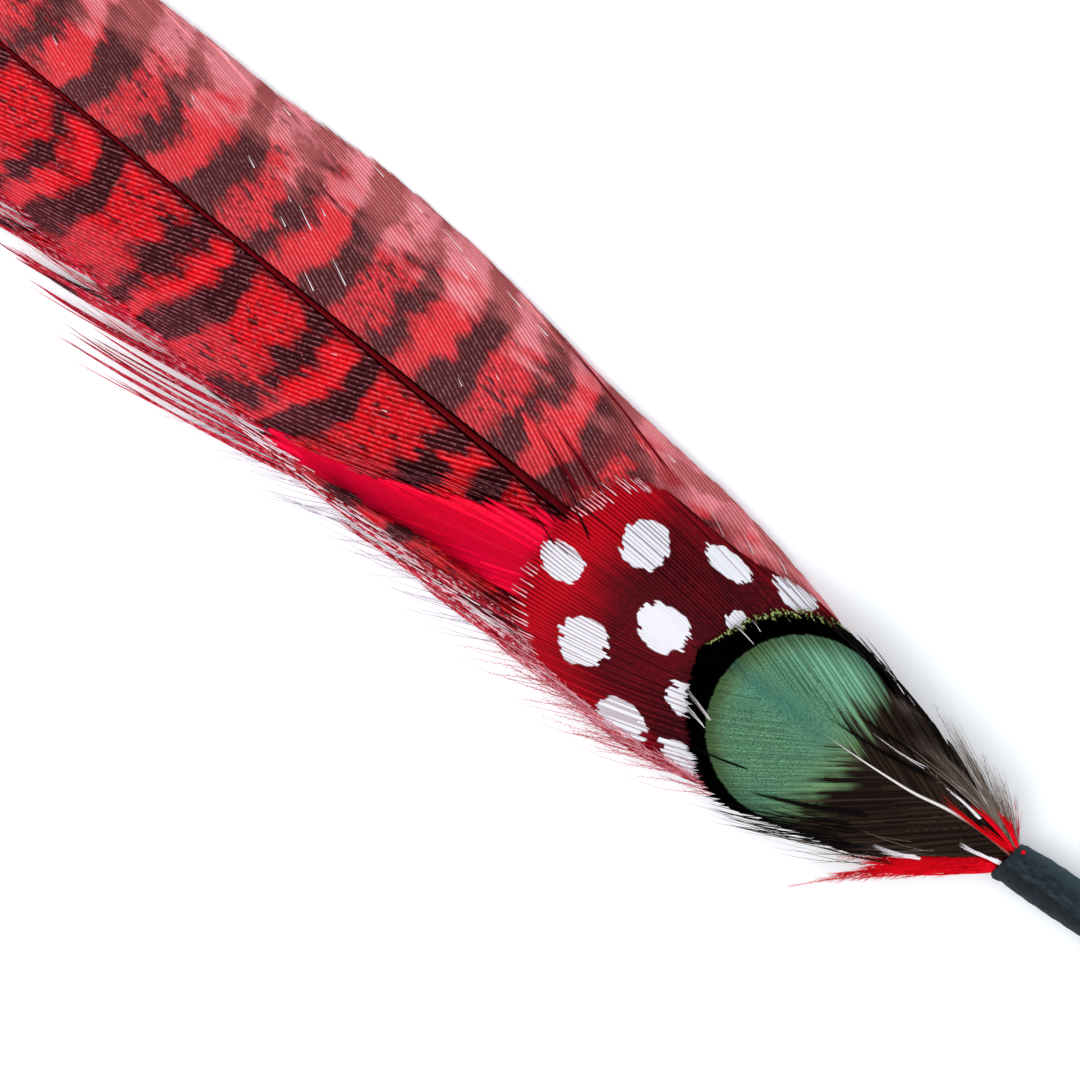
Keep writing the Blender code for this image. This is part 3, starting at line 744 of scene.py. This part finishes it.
class TrimBarbs(bpy.types.PropertyGroup):
    """Spacing and size of the barbs of the three larger feathers."""
    tail_pitch: FloatProperty(name="Tail pitch",
                              description="Step between barbs along the tail's shaft",
                              default=0.88 * MM, unit="LENGTH")
    tail_half: FloatProperty(name="Tail half width", description="Half the width of a tail barb's web",
                             default=0.27 * MM, unit="LENGTH")
    guinea_pitch: FloatProperty(name="Guinea pitch", description="Step between guinea fowl barbs",
                                default=0.26 * MM, unit="LENGTH")
    guinea_half: FloatProperty(name="Guinea half width",
                               description="Half the width of a guinea barb's web", default=0.32 * MM,
                               unit="LENGTH")
    green_pitch: FloatProperty(name="Green pitch", description="Step between green feather barbs",
                               default=0.22 * MM, unit="LENGTH")


class TrimDyes(bpy.types.PropertyGroup):
    """Colours of the dyed feathers, of the green disc and of the tape."""
    # The two tail colours differ partly by painted light, as the neat vane faces the light and the
    # loose one faces away
    tail_loose: FloatVectorProperty(name="Tail, loose side", description="Dye on the tail's +Y vane",
                                    size=4, subtype="COLOR", default=linear("#EC0818"))
    tail_neat: FloatVectorProperty(name="Tail, neat side", description="Dye on the tail's -Y vane",
                                   size=4, subtype="COLOR", default=linear("#F8343E"))
    plain: FloatVectorProperty(name="Plain feather", description="Dye on the plain feather",
                               size=4, subtype="COLOR", default=linear("#F4002E"))
    guinea: FloatVectorProperty(name="Spotted feather", description="Dye on the spotted feather's rim",
                                size=4, subtype="COLOR", default=linear("#BA0016"))
    spots: FloatVectorProperty(name="Spots", description="Undyed spots of the spotted feather",
                               size=4, subtype="COLOR", default=linear("#E2E0E6"))
    disc: FloatVectorProperty(name="Green disc", description="Paler grains of the green disc",
                              size=4, subtype="COLOR", default=linear("#6E9C7A"))
    down: FloatVectorProperty(name="Red down", description="Palest threads of the red tuft",
                              size=4, subtype="COLOR", default=linear("#EC0C24"))
    tape: FloatVectorProperty(name="Tape", description="Raised crinkles of the tape",
                              size=4, subtype="COLOR", default=linear("#26343C"))


# The neat vane's paler red, bars and crests, against the loose vane's deeper ones, are partly painted
# light: the neat vane faces the light and catches glare, and the loose one faces away
LOOSE = Dye(side=1, bar="#34060A", crest="#E88C9A", pale="#DC5866", pale_bar="#6A3038",
            crest_amount=0.3, margin_light_amount=0.3, shaft_shade_reach=0.075, shaft_shade_amount=0.8,
            groove_shade_amount=0.3, first=67.2, period=13.65, main=1.45, broken=1.55, after=5.1,
            bend=(4.8, 0.0, 0.08))
NEAT = Dye(side=-1, bar="#561A1E", crest="#F4B8C0", pale="#FF929A", pale_bar="#BC5A5A",
           crest_amount=0.14, margin_light_amount=1.0, shaft_shade_reach=0.2, shaft_shade_amount=0.3,
           groove_shade_amount=0.08, first=73.9, period=12.87, main=1.75, broken=1.5, after=6.4,
           bend=(4.0, -4.0, 0.035))

# Pale barbs on the tail, partly undyed and partly painted glints: place of the middle, and length
GLINTS = ((80.4, -3.3, 1.0), (79.2, -4.7, 2.6), (78.3, -6.0, 0.9), (74.2, -3.0, 2.8), (75.6, -0.8, 1.8),
          (58.5, -4.5, 0.6), (85.6, -5.5, 1.2), (60.6, -2.2, 0.8), (66.0, -9.4, 1.5), (92.8, -6.6, 0.6),
          (81.2, -5.1, 0.7), (104.6, -3.0, 0.9), (112, -4.4, 1.2), (123, -2.5, 0.9), (61.5, -10.4, 2.2),
          (68.5, -11.0, 3.0), (66.2, -10.4, 1.6), (72.5, -11.3, 1.5), (58, -9.9, 1.5), (77, -11.6, 1.6),
          (64.0, 3.6, 0.5), (70.2, 2.6, 0.6), (86, -10.6, 1.4), (93, -11.0, 1.8), (30.2, -7.3, 1.8),
          (36.8, -6.7, 3.0), (33.5, -6.9, 2.0), (43, -8.4, 1.2))


class TRIM_OT_tail(bpy.types.Operator):
    """Build the tail feather: its two vanes, its shaft and its loose barbs"""
    bl_idname = "trim.tail"
    bl_label = "Tail feather"

    def execute(self, context):
        sizes, dyes = context.scene.trim_barbs, context.scene.trim_dyes
        half = sizes.tail_half / MM
        for dye, red, step, name in ((LOOSE, dyes.tail_loose, 1.25, "tail_vane_loose_side"),
                                     (NEAT, dyes.tail_neat, 1.0, "tail_vane_neat_side")):
            rng = np.random.default_rng(11)
            threads = Threads()
            comb(threads, TAIL, dye.side, step * sizes.tail_pitch / MM, half, rng, steps=26,
                 clump=(4, 13), pull=0.22, shift=0.16)
            if dye is LOOSE:
                for start, end, count, base in (
                        ((84, 10.2), (97, 12.9), 6, 6.0), ((92, 9.9), (105, 12.4), 6, 6.0),
                        ((103, 9.2), (117, 11.6), 6, 6.0), ((114, 8.4), (127, 10.4), 6, 6.0),
                        ((127, 7), (137, 8.6), 6, 6.0), ((44, 9.1), (57, 10.5), 16, 9.0),
                        ((50, 9.5), (63, 11.3), 16, 9.0), ((57, 10.4), (68, 11.8), 12, 8.0)):
                    lock(threads, TAIL.height, start, end, count, base, 0.5, 0.19, rng,
                         rise=1.6 if start[0] < 64 else 0.25)
                # Single barbs come up through the plain feather's lower margin
                outline = np.array(PLAIN.right)
                for x in np.arange(51, 67, 0.25):
                    y = np.interp(x, outline[:, 0], outline[:, 1]) - 0.6 + 1.3 * rng.random() ** 1.5
                    run = 1.5 + 3 * rng.random()
                    stray(threads, TAIL.height, (x, y), (x + run, y + 0.29 * run), 0.0, 0.14, rng,
                          rise=1.0)
            weave(name, threads, TAIL_WEB, tail_finish(dye, red), "tail_feather")
        rng = np.random.default_rng(21)
        shaft = shaft_threads(TAIL, -8, 160)
        weave("tail_shaft", shaft, TAIL_QUILL,
              shaft_finish("dyed quill, dark red", "#5E0008", "#060001", 0.03), "tail_feather")
        strays = Threads()
        for x in np.arange(42, 74, 0.6):
            end = (x + 6 + 5 * rng.random(), 14.2 + 2.2 * rng.random())
            stray(strays, TAIL.height, (x + 1.5, 12.2), end, 0.05, 0.026, rng)
        weave("tail_faint_barbs", strays, ROUND,
              thread_finish("barb ends, greyed", "#94788C", "#D8C0D0"), "tail_feather")
        strays = Threads()
        # Pale threads on the vanes, partly undyed barbs and partly painted glints
        for x, y, length in GLINTS:
            slope = np.array((0.9, 0.36 if y > 0 else -0.42 if y > -8 else -0.15)) * length / 2
            stray(strays, TAIL.height, (x - slope[0], y - slope[1]), (x + slope[0], y + slope[1]), 0.0,
                  0.05, rng, rise=0.12)
        # White dashes along the loose margin: painted sheen on the barbs
        for x in np.arange(44, 72, 0.3):
            lift = 10.6 + 0.02 * (x - 44) + 1.2 * rng.random()
            stray(strays, TAIL.height, (x, lift), (x + 1 + 2 * rng.random(), lift + 0.25), 0.03, 0.07,
                  rng, rise=1.0)
        weave("tail_glints", strays, ROUND, thread_finish("undyed barbs", "#E8C4CE", "#FCF8FA"),
              "tail_feather")
        strays = Threads()
        for start, end, count, base, tip in (
                ((64, 11.7), (87, 16.6), 3, 2.0, 0.5), ((66, 11.5), (89.5, 15.9), 4, 2.0, 0.6),
                ((68, 11.3), (89.5, 15.0), 4, 3.0, 0.7), ((71, 11.0), (88, 13.9), 3, 3.0, 0.7),
                ((76, 10.8), (95, 14.1), 6, 5.0, 0.5), ((83, 10.4), (99, 13.0), 5, 4.0, 0.6),
                ((90, 10.0), (104, 12.6), 5, 4.0, 0.6), ((98, 9.7), (112, 12.0), 5, 5.0, 0.6),
                ((108, 9.0), (121, 11.0), 5, 5.0, 0.6), ((120, 8.0), (132, 9.6), 5, 5.0, 0.6)):
            lock(strays, TAIL.height, start, end, count, base, tip, 0.14, rng, bow=0.035, rise=0.4)
        for start, end in (((77, 11.0), (90, 12.4)), ((80, 10.8), (93, 12.0)), ((86, 10.4), (98, 11.6)),
                           ((90, 10.2), (101, 11.3)), ((94, 9.9), (105, 11.0))):
            lock(strays, TAIL.height, start, end, 5, 4.0, 0.5, 0.06, rng, bow=0.035, rise=0.4)
        weave("tail_fan", strays, SLIM, thread_finish("dyed barbs, crimson", "#8E0012", "#D83048",
                                                      "#F0B8C4", 0.35), "tail_feather")
        strays = Threads()
        for start, end, count, base, tip in (
                ((48, 11.5), (62, 13.1), 7, 8.0, 0.4), ((40, 11.4), (53, 12.6), 9, 8.0, 0.4),
                ((54, 11.3), (68, 12.5), 9, 8.0, 0.4), ((32, 11.4), (46, 12.7), 7, 6.0, 0.4),
                ((46, 10.2), (58, 11.8), 8, 6.0, 0.4), ((58, 10.9), (71, 12.4), 8, 6.0, 0.4),
                ((63, 10.8), (75, 12.4), 9, 8.0, 0.4)):
            lock(strays, TAIL.height, start, end, count, base, tip, 0.13, rng,
                 rise=1.5 if start == (46, 10.2) else 0.4)
        weave("tail_loose_barbs", strays, SLIM,
              thread_finish("dyed barb ends, red", "#A80012", "#E04058", "#FAE0E6", 0.7),
              "tail_feather")
        strays = Threads()
        for start, end, count in (((42, -7.4), (58, -10.8), 4), ((94, 4.3), (104, 6.5), 2),
                                  ((76, -7.0), (80.5, -7.6), 2), ((47, -1.2), (53, -3.4), 6),
                                  ((46.5, -2.6), (52, -4.6), 5), ((44, 10.6), (50, 11.6), 3)):
            lock(strays, TAIL.height, start, end, count, 1.5, 0.3, 0.06, rng, bow=0.02, rise=0.15)
        weave("tail_dark_barbs", strays, SLIM,
              thread_finish("dyed barbs, maroon", "#3A0008", "#8C1020"), "tail_feather")
        return {"FINISHED"}


class TRIM_OT_plain(bpy.types.Operator):
    """Build the plain crimson feather"""
    bl_idname = "trim.plain"
    bl_label = "Plain red feather"

    def execute(self, context):
        rng = np.random.default_rng(12)
        threads = Threads()
        for side in (1, -1):
            comb(threads, PLAIN, side, 0.4, 0.36, rng, steps=16, pull=0.25, fray=0.35)
        weave("plain_vanes", threads, PLAIN_WEB, plain_finish(context.scene.trim_dyes.plain),
              "plain_red_feather")
        weave("plain_shaft", shaft_threads(PLAIN, -8, 70), QUILL,
              shaft_finish("dyed quill, crimson", "#D00028", "#B0001C"), "plain_red_feather")
        return {"FINISHED"}


class TRIM_OT_guinea(bpy.types.Operator):
    """Build the spotted feather with its frayed edge"""
    bl_idname = "trim.guinea"
    bl_label = "Spotted feather"

    def execute(self, context):
        sizes, dyes = context.scene.trim_barbs, context.scene.trim_dyes
        rng = np.random.default_rng(13)
        threads = Threads()
        for side in (1, -1):
            comb(threads, GUINEA, side, sizes.guinea_pitch / MM, sizes.guinea_half / MM, rng, steps=26,
                 pull=0.15, shift=0.2, fray=0.02, even=0.85)
        for aside in np.linspace(-0.6, 0.6, 5):
            stray(threads, GUINEA.height, (27, 2.2 + 0.4 * aside), (46.9, 3.1 + aside), 0.0, 0.42, rng,
                  steps=26, rise=0.0)
        weave("guinea_vanes", threads, GUINEA_WEB, guinea_finish(dyes.guinea, dyes.spots),
              "guinea_feather")
        weave("guinea_shaft", shaft_threads(GUINEA, -8, 32), QUILL,
              shaft_finish("dyed quill, maroon", "#3C000A", "#200006"), "guinea_feather")
        strays = Threads()
        for x in np.concatenate((np.arange(18, 42, 0.3), np.arange(24, 35, 0.5))):
            slope = 0.04 + 0.55 * rng.random() ** 1.4
            far = 2 + 5.5 * rng.random()
            base = (x + rng.random(), 9.6 + 2.7 * np.sin((x - 17) / 24 * 2.4) - 0.5 * rng.random())
            downy(strays, GUINEA.height, base, (base[0] + far, base[1] + slope * far),
                  0.07 * rng.normal(), 0.045, rng, reach=0.6, gap=0.4)
        for x in np.arange(23, 40, 2.1):
            base = (x, 9.4 + 2.6 * np.sin((x - 17) / 24 * 2.4))
            stray(strays, GUINEA.height, base, (x + 6 + 3 * rng.random(), base[1] + 3.2 + rng.random()),
                  0.1 * rng.normal(), 0.03, rng)
        weave("guinea_frayed_edge", strays, ROUND,
              thread_finish("dyed down, pink", "#B00C28", "#F8B4C0"), "guinea_feather")
        strays = Threads()
        for start, end in (((43.6, 1.4), (50, -1.7)), ((45.8, 3.4), (49.8, 2.1)),
                           ((44, 1.0), (47.6, -0.5)), ((46.4, 0.4), (51.5, -2.0)),
                           ((46.6, -0.4), (50.4, -2.2)), ((46.8, 0.8), (53.0, 0.9)),
                           ((46.6, 1.4), (55.0, 1.3)), ((47.2, 0.2), (54.0, 0.2)),
                           ((46.4, 1.1), (51.0, 0.5)), ((47.0, 1.8), (52.4, 1.0))):
            stray(strays, GUINEA.height, start, end, 0.01, 0.07, rng, rise=0.12)
        weave("guinea_dark_wisps", strays, ROUND,
              thread_finish("dyed barbs, maroon", "#1A0004", "#4A0810"), "guinea_feather")
        return {"FINISHED"}


class TRIM_OT_green(bpy.types.Operator):
    """Build the green feather with its black edge, wisps and grey-brown down"""
    bl_idname = "trim.green"
    bl_label = "Green feather"

    def execute(self, context):
        sizes = context.scene.trim_barbs
        rng = np.random.default_rng(14)
        threads = Threads()
        for side in (1, -1):
            comb(threads, GREEN, side, sizes.green_pitch / MM, 0.27, rng, steps=20, pull=0.25,
                 fray=0.05, shift=1.0)
        weave("green_vanes", threads, GREEN_WEB, green_finish(context.scene.trim_dyes.disc),
              "green_feather")
        weave("green_shaft", shaft_threads(GREEN, -8, 21), QUILL, pale_quill_finish(), "green_feather")
        strays = Threads()
        for start, end, count, base, tip in (
                ((12, 7.0), (20.4, 12), 10, 3.0, 0.7), ((15, 8.2), (22, 12), 9, 3.0, 0.8),
                ((9, 6.2), (15, 9.6), 8, 3.0, 0.6),
                ((12, 4.3), (20.7, 9.1), 12, 1.0, 0.25), ((22, 7.6), (28, 9.5), 2, 1.0, 0.3),
                ((12, 5.8), (19, 9.6), 6, 2.0, 0.6), ((14, -4.8), (22, -6.8), 8, 4.0, 0.5),
                ((19, -5.6), (27, -6.3), 8, 5.0, 0.5), ((10, -1.4), (19.8, 0.1), 5, 2.0, 0.3),
                ((12, -2.2), (17.5, -1.6), 5, 2.0, 0.4), ((8, -3.0), (13.6, -5.2), 8, 2.0, 0.3)):
            lock(strays, GREEN.height, start, end, count, base, tip, 0.06, rng)
        weave("green_black_wisps", strays, ROUND,
              thread_finish("black barb ends", "#020202", "#16100E"), "green_feather")
        strays = Threads()
        for start, end in (((1, -1.3), (13.8, -6.4)), ((1, -1.4), (9, -5.4)), ((1, -1.5), (7.8, -5.7)),
                           ((0.8, -1.5), (6, -5.4)), ((0.8, -1.6), (4.8, -4.7)),
                           ((1.4, -1.4), (10.5, -5.2)), ((2, -1.6), (12, -6.3)),
                           ((2, -1.5), (9.6, -3.5)), ((2, -1.4), (10.5, -2.6)),
                           ((1.5, -1.3), (8, -3.9)), ((1.5, -1.2), (6.5, -3.1)),
                           ((1, -1.1), (11.5, -3.1)), ((3, -1.7), (12.5, -2.1)),
                           ((2, -1.5), (5.5, -4.4)), ((1.5, -1.4), (8.6, -4.6))):
            downy(strays, GREEN.height, start, end, 0.06 * rng.normal(), 0.04, rng, reach=0.7, gap=0.5)
            lock(strays, GREEN.height, start, end, 12, 0.8, 0.6, 0.026, rng)
        for start, end in (((5, 2.8), (12, 7.6)), ((6.5, 3.4), (13, 6.4))):
            lock(strays, GREEN.height, start, end, 4, 1.2, 1.0, 0.012, rng, rise=0.1)
        for start, end in (((10, 7.6), (16, 11.2)), ((12, 8.2), (18, 11.7)), ((9, 6.4), (14.5, 10)),
                           ((14, 8.6), (21, 12.6)), ((17, 9.8), (24, 13))):
            lock(strays, GREEN.height, start, end, 4, 1.6, 1.0, 0.025, rng)
        weave("green_grey_down", strays, ROUND,
              thread_finish("undyed down, grey-brown", "#3E2E26", "#A69488"), "green_feather")
        strays = Threads()
        for start, end, count, tip, half in (
                ((0.9, 0.45), (4.3, 1.4), 18, 0.3, 0.05), ((6.4, 4.4), (9.4, 6.0), 20, 0.4, 0.04),
                ((4.6, -1.3), (8.4, -1.5), 8, 0.12, 0.1), ((4.4, -2.1), (8.6, -2.25), 5, 0.12, 0.06),
                ((10.6, -1.8), (15.6, -1.2), 4, 0.5, 0.022), ((26.8, 6.5), (30.3, 5.8), 5, 0.3, 0.025),
                ((26.8, 7.2), (30.4, 6.8), 6, 0.4, 0.025), ((28, -0.7), (30.4, -0.9), 2, 0.2, 0.04),
                ((28.2, -1.9), (29.8, -2.2), 1, 0.1, 0.04), ((26, 9.8), (28.2, 10.6), 4, 0.3, 0.04)):
            lock(strays, GREEN.height, start, end, count, 0.5, tip, half, rng, rise=0.12)
        weave("green_white_flecks", strays, ROUND,
              thread_finish("undyed barbs, white", "#D8C8CC", "#FAF8FA"), "green_feather")
        return {"FINISHED"}


class TRIM_OT_down(bpy.types.Operator):
    """Build the red tuft and the small red wisps beside the binding"""
    bl_idname = "trim.down"
    bl_label = "Red down"

    def execute(self, context):
        rng = np.random.default_rng(15)
        threads = Threads()
        for end in ((13.4, 13.5), (12, 11.5), (10.8, 9.9), (11.8, 8.8), (10.8, 8.0), (9.4, 8.4),
                    (8.4, 7.8), (7.7, 7.1), (10.2, 7.6), (6.8, 6.1), (5.4, 4.9), (9.6, 9.5),
                    (11.2, 10.4), (4.2, 3.9)):
            start = (0.7 + 0.3 * rng.random(), 0.3 + rng.random())
            downy(threads, DOWN.height, start, end, 0.04 * rng.normal(), 0.05, rng, reach=0.9, gap=0.14,
                  rise=0.5)
        for far in rng.random(340) ** 0.7:
            end = np.array((1.5 + 8.2 * far, 0.6 + 7.6 * far)) + 0.3 * rng.normal(size=2) * (0.5 + far)
            stray(threads, DOWN.height, (0.6 + 0.5 * rng.random(), 0.1 + 1.2 * rng.random()), end,
                  0.06 * rng.normal(), 0.1, rng, rise=0.5)
        for far in rng.random(180):
            base = np.array((1.5 + 8.8 * far, 0.9 + 8.4 * far))
            stray(threads, DOWN.height, base, base + (0.4 + rng.random(), 0.8 + 1.2 * rng.random()),
                  0.03, 0.028, rng, rise=0.5)
        for start, end, count, half in (
                ((0.7, -0.9), (7.8, -0.6), 9, 0.05), ((0.8, -1.1), (5.2, -1.8), 16, 0.09),
                ((0.6, -1.5), (3.3, -2.8), 14, 0.08), ((0.8, -1.8), (3.6, -4.6), 5, 0.03),
                ((0.6, -1.0), (3.4, -0.9), 10, 0.08)):
            lock(threads, GREEN.height, start, end, count, 0.3, 0.3, half, rng, rise=0.3)
        knot = np.array(((-0.28, -1.45), (-0.12, -1.4), (0.06, -1.34)))
        threads.add(np.column_stack((knot, np.full(3, 3.55))), np.array((0.1, 0.22, 0.1)), 0, 0.6)
        weave("red_down_tuft", threads, ROUND,
              thread_finish("dyed down, red", "#C80008", context.scene.trim_dyes.down), "red_down")
        return {"FINISHED"}


TAPE_SEAM = 0.25               # turn from the top, towards +Y, at which the tape's edge lies
TAPE_STEP = 0.14               # thickness that the edge stands proud
TAPE_REACH = 0.5               # how far the tape goes past the mouth of the solid stem
TAPE_POINTS = 96               # points round the tape
END_LENGTH = 1.4               # how much of the far end is rounded


def tape_mesh():
    """One closed skin: the crinkled tape, its rounded far end and its lip round the quills."""
    around = np.linspace(0, 2 * np.pi, TAPE_POINTS, endpoint=False)
    body = np.linspace(-STEM_LENGTH + END_LENGTH, TAPE_REACH, 240)
    end = np.linspace(0, np.pi / 2, 7)[:-1]
    rows = [(-STEM_LENGTH + END_LENGTH * (1 - np.cos(a)), np.sin(a)) for a in end[1:]]
    rows += [(x, 1.0) for x in body]
    rows += [(TAPE_REACH + 0.02, 0.93), (TAPE_REACH - 0.1, 0.84), (TAPE_REACH - 0.7, 0.8)]
    points = []
    shade_tones = []
    for x, size in rows:
        turn = np.mod(around - TAPE_SEAM + 0.012 * x, 2 * np.pi) / (2 * np.pi)
        skin = STEM_RADIUS - 0.26 * np.exp(x / 2.6) - TAPE_STEP * (1 - turn) ** 2
        creases = (0.022 * np.sin(5 * around + 2.3 * x) * np.sin(0.9 * x)
                   + 0.016 * np.sin(11 * around - 3.1 * x)
                   + 0.014 * np.sin(3 * around + 5.2 * x + 1.0) + 0.03 * np.sin(0.7 * x + 2 * around))
        nib = 0.3 * np.exp(-((x - 0.1) / 0.35) ** 2 - ((around - 1.5) / 0.3) ** 2)
        radius = size * (skin + creases + nib)
        y = stem_line(x) + radius * np.sin(around) - 0.05
        z = np.maximum(STEM_HEIGHT + radius * np.cos(around), 0.02 * (2 - size))
        mouth = x + 0.25 * np.sin(around + 0.6) * (x > 0)
        points.append(np.column_stack((np.broadcast_to(mouth, y.shape), y, z)))
        # Tone is painted shade: under the wrap's raised edge and inside its lip round the quills
        dark = 1.0 if x > 0 else 0.0
        shade_tones.append(np.exp(-(turn / 0.12) ** 2) if size == 1.0 else np.full(TAPE_POINTS, dark))
    return points, shade_tones


class TRIM_OT_stem(bpy.types.Operator):
    """Build the taped stem"""
    bl_idname = "trim.stem"
    bl_label = "Taped stem"

    def execute(self, context):
        points, shade_tones = tape_mesh()
        across = len(points[0])
        faces = []
        for row in range(len(points) - 1):
            low, high = row * across, (row + 1) * across
            faces += [(low + i, low + (i + 1) % across, high + (i + 1) % across, high + i)
                      for i in range(across)]
        faces.append(tuple(reversed(range(across))))
        faces.append(tuple(range((len(points) - 1) * across, len(points) * across)))
        mesh = bpy.data.meshes.new("stem_tape")
        mesh.from_pydata(((np.vstack(points) + MOUTH) * MM).tolist(), [], faces)
        mesh.attributes.new("tone", "FLOAT", "POINT").data.foreach_set("value", np.concatenate(shade_tones))
        model = bmesh.new()
        model.from_mesh(mesh)
        bmesh.ops.recalc_face_normals(model, faces=model.faces)
        model.to_mesh(mesh)
        model.free()
        mesh.shade_smooth()
        mesh.materials.append(tape_finish(context.scene.trim_dyes.tape))
        settle("stem_tape", mesh, "stem_wrap")
        return {"FINISHED"}


PHOTO_MIDDLE = np.array((47.19, 3.77, 0.0))       # plan of the middle of the view
CAMERA_TURN = 219.1            # degrees
CAMERA_HEIGHT = 0.45           # metres, as for the table and the lights
CAMERA_LENS = 180
TABLE_SIZE = 4
TABLE_GLOW = 0.1
# Soft lights: place from the middle of the view, power in watts and size
LIGHTS = {"key": ((0.05, 0.40, 0.40), 1.3, 0.4), "top": ((-0.1, 0.05, 0.8), 2.0, 0.9)}


class TRIM_OT_stage(bpy.types.Operator):
    """Build the pale table, the soft lights and the camera"""
    bl_idname = "trim.stage"
    bl_label = "Stage"

    def execute(self, context):
        scene = context.scene
        bpy.ops.mesh.primitive_plane_add(size=TABLE_SIZE)
        table = context.object
        table.name = "table"
        white = bpy.data.materials.new("back-lit white acrylic")
        white.use_nodes = True
        sheet = white.node_tree.nodes["Principled BSDF"].inputs
        sheet["Base Color"].default_value = linear("#FAFAFB")
        sheet["Roughness"].default_value = 0.9
        sheet["Emission Color"].default_value = linear("#EEF6FF")
        sheet["Emission Strength"].default_value = TABLE_GLOW
        table.data.materials.append(white)
        middle = Vector((MOUTH + PHOTO_MIDDLE) * MM)
        eye = bpy.data.objects.new("camera", bpy.data.cameras.new("camera"))
        eye.data.lens = CAMERA_LENS
        eye.data.clip_start = 0.01
        eye.location = middle + Vector((0, 0, CAMERA_HEIGHT))
        eye.rotation_euler = (0, 0, np.radians(CAMERA_TURN))
        scene.collection.objects.link(eye)
        scene.camera = eye
        for name, (place, power, size) in LIGHTS.items():
            light = bpy.data.objects.new(name, bpy.data.lights.new(name, "AREA"))
            light.data.energy = power
            light.data.size = size
            light.location = middle + Vector(place)
            light.rotation_euler = (middle - light.location).to_track_quat("-Z", "Y").to_euler()
            scene.collection.objects.link(light)
        world = bpy.data.worlds.new("studio")
        world.use_nodes = True
        sky = world.node_tree.nodes["Background"].inputs
        sky["Color"].default_value = linear("#F0F5FA")
        sky["Strength"].default_value = 0.82
        scene.world = world
        scene.view_settings.view_transform = "Standard"
        return {"FINISHED"}


class TRIM_PT_panel(bpy.types.Panel):
    """Panel that lists the pieces of the trim"""
    bl_idname = "TRIM_PT_panel"
    bl_label = "Feather trim"
    bl_space_type = "VIEW_3D"
    bl_region_type = "UI"
    bl_category = "Feather trim"

    def draw(self, context):
        for group, settings in ((TrimBarbs, context.scene.trim_barbs),
                                (TrimDyes, context.scene.trim_dyes)):
            for name in group.__annotations__:
                self.layout.prop(settings, name)
        for operator in OPERATORS:
            self.layout.operator(operator.bl_idname)


OPERATORS = (TRIM_OT_stage, TRIM_OT_tail, TRIM_OT_plain, TRIM_OT_guinea, TRIM_OT_green,
             TRIM_OT_down, TRIM_OT_stem)
CLASSES = (TrimBarbs, TrimDyes) + OPERATORS + (TRIM_PT_panel,)


def register():
    """Add the classes and the settings to Blender."""
    for entry in CLASSES:
        bpy.utils.register_class(entry)
    bpy.types.Scene.trim_barbs = PointerProperty(type=TrimBarbs)
    bpy.types.Scene.trim_dyes = PointerProperty(type=TrimDyes)


def unregister():
    """Take the classes and the settings out of Blender."""
    del bpy.types.Scene.trim_dyes
    del bpy.types.Scene.trim_barbs
    for entry in reversed(CLASSES):
        bpy.utils.unregister_class(entry)


def main():
    """Build every piece in order."""
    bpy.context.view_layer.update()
    register()
    for operator in OPERATORS:
        group, name = operator.bl_idname.split(".")
        getattr(getattr(bpy.ops, group), name)()
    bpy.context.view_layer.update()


if __name__ == "__main__":
    main()
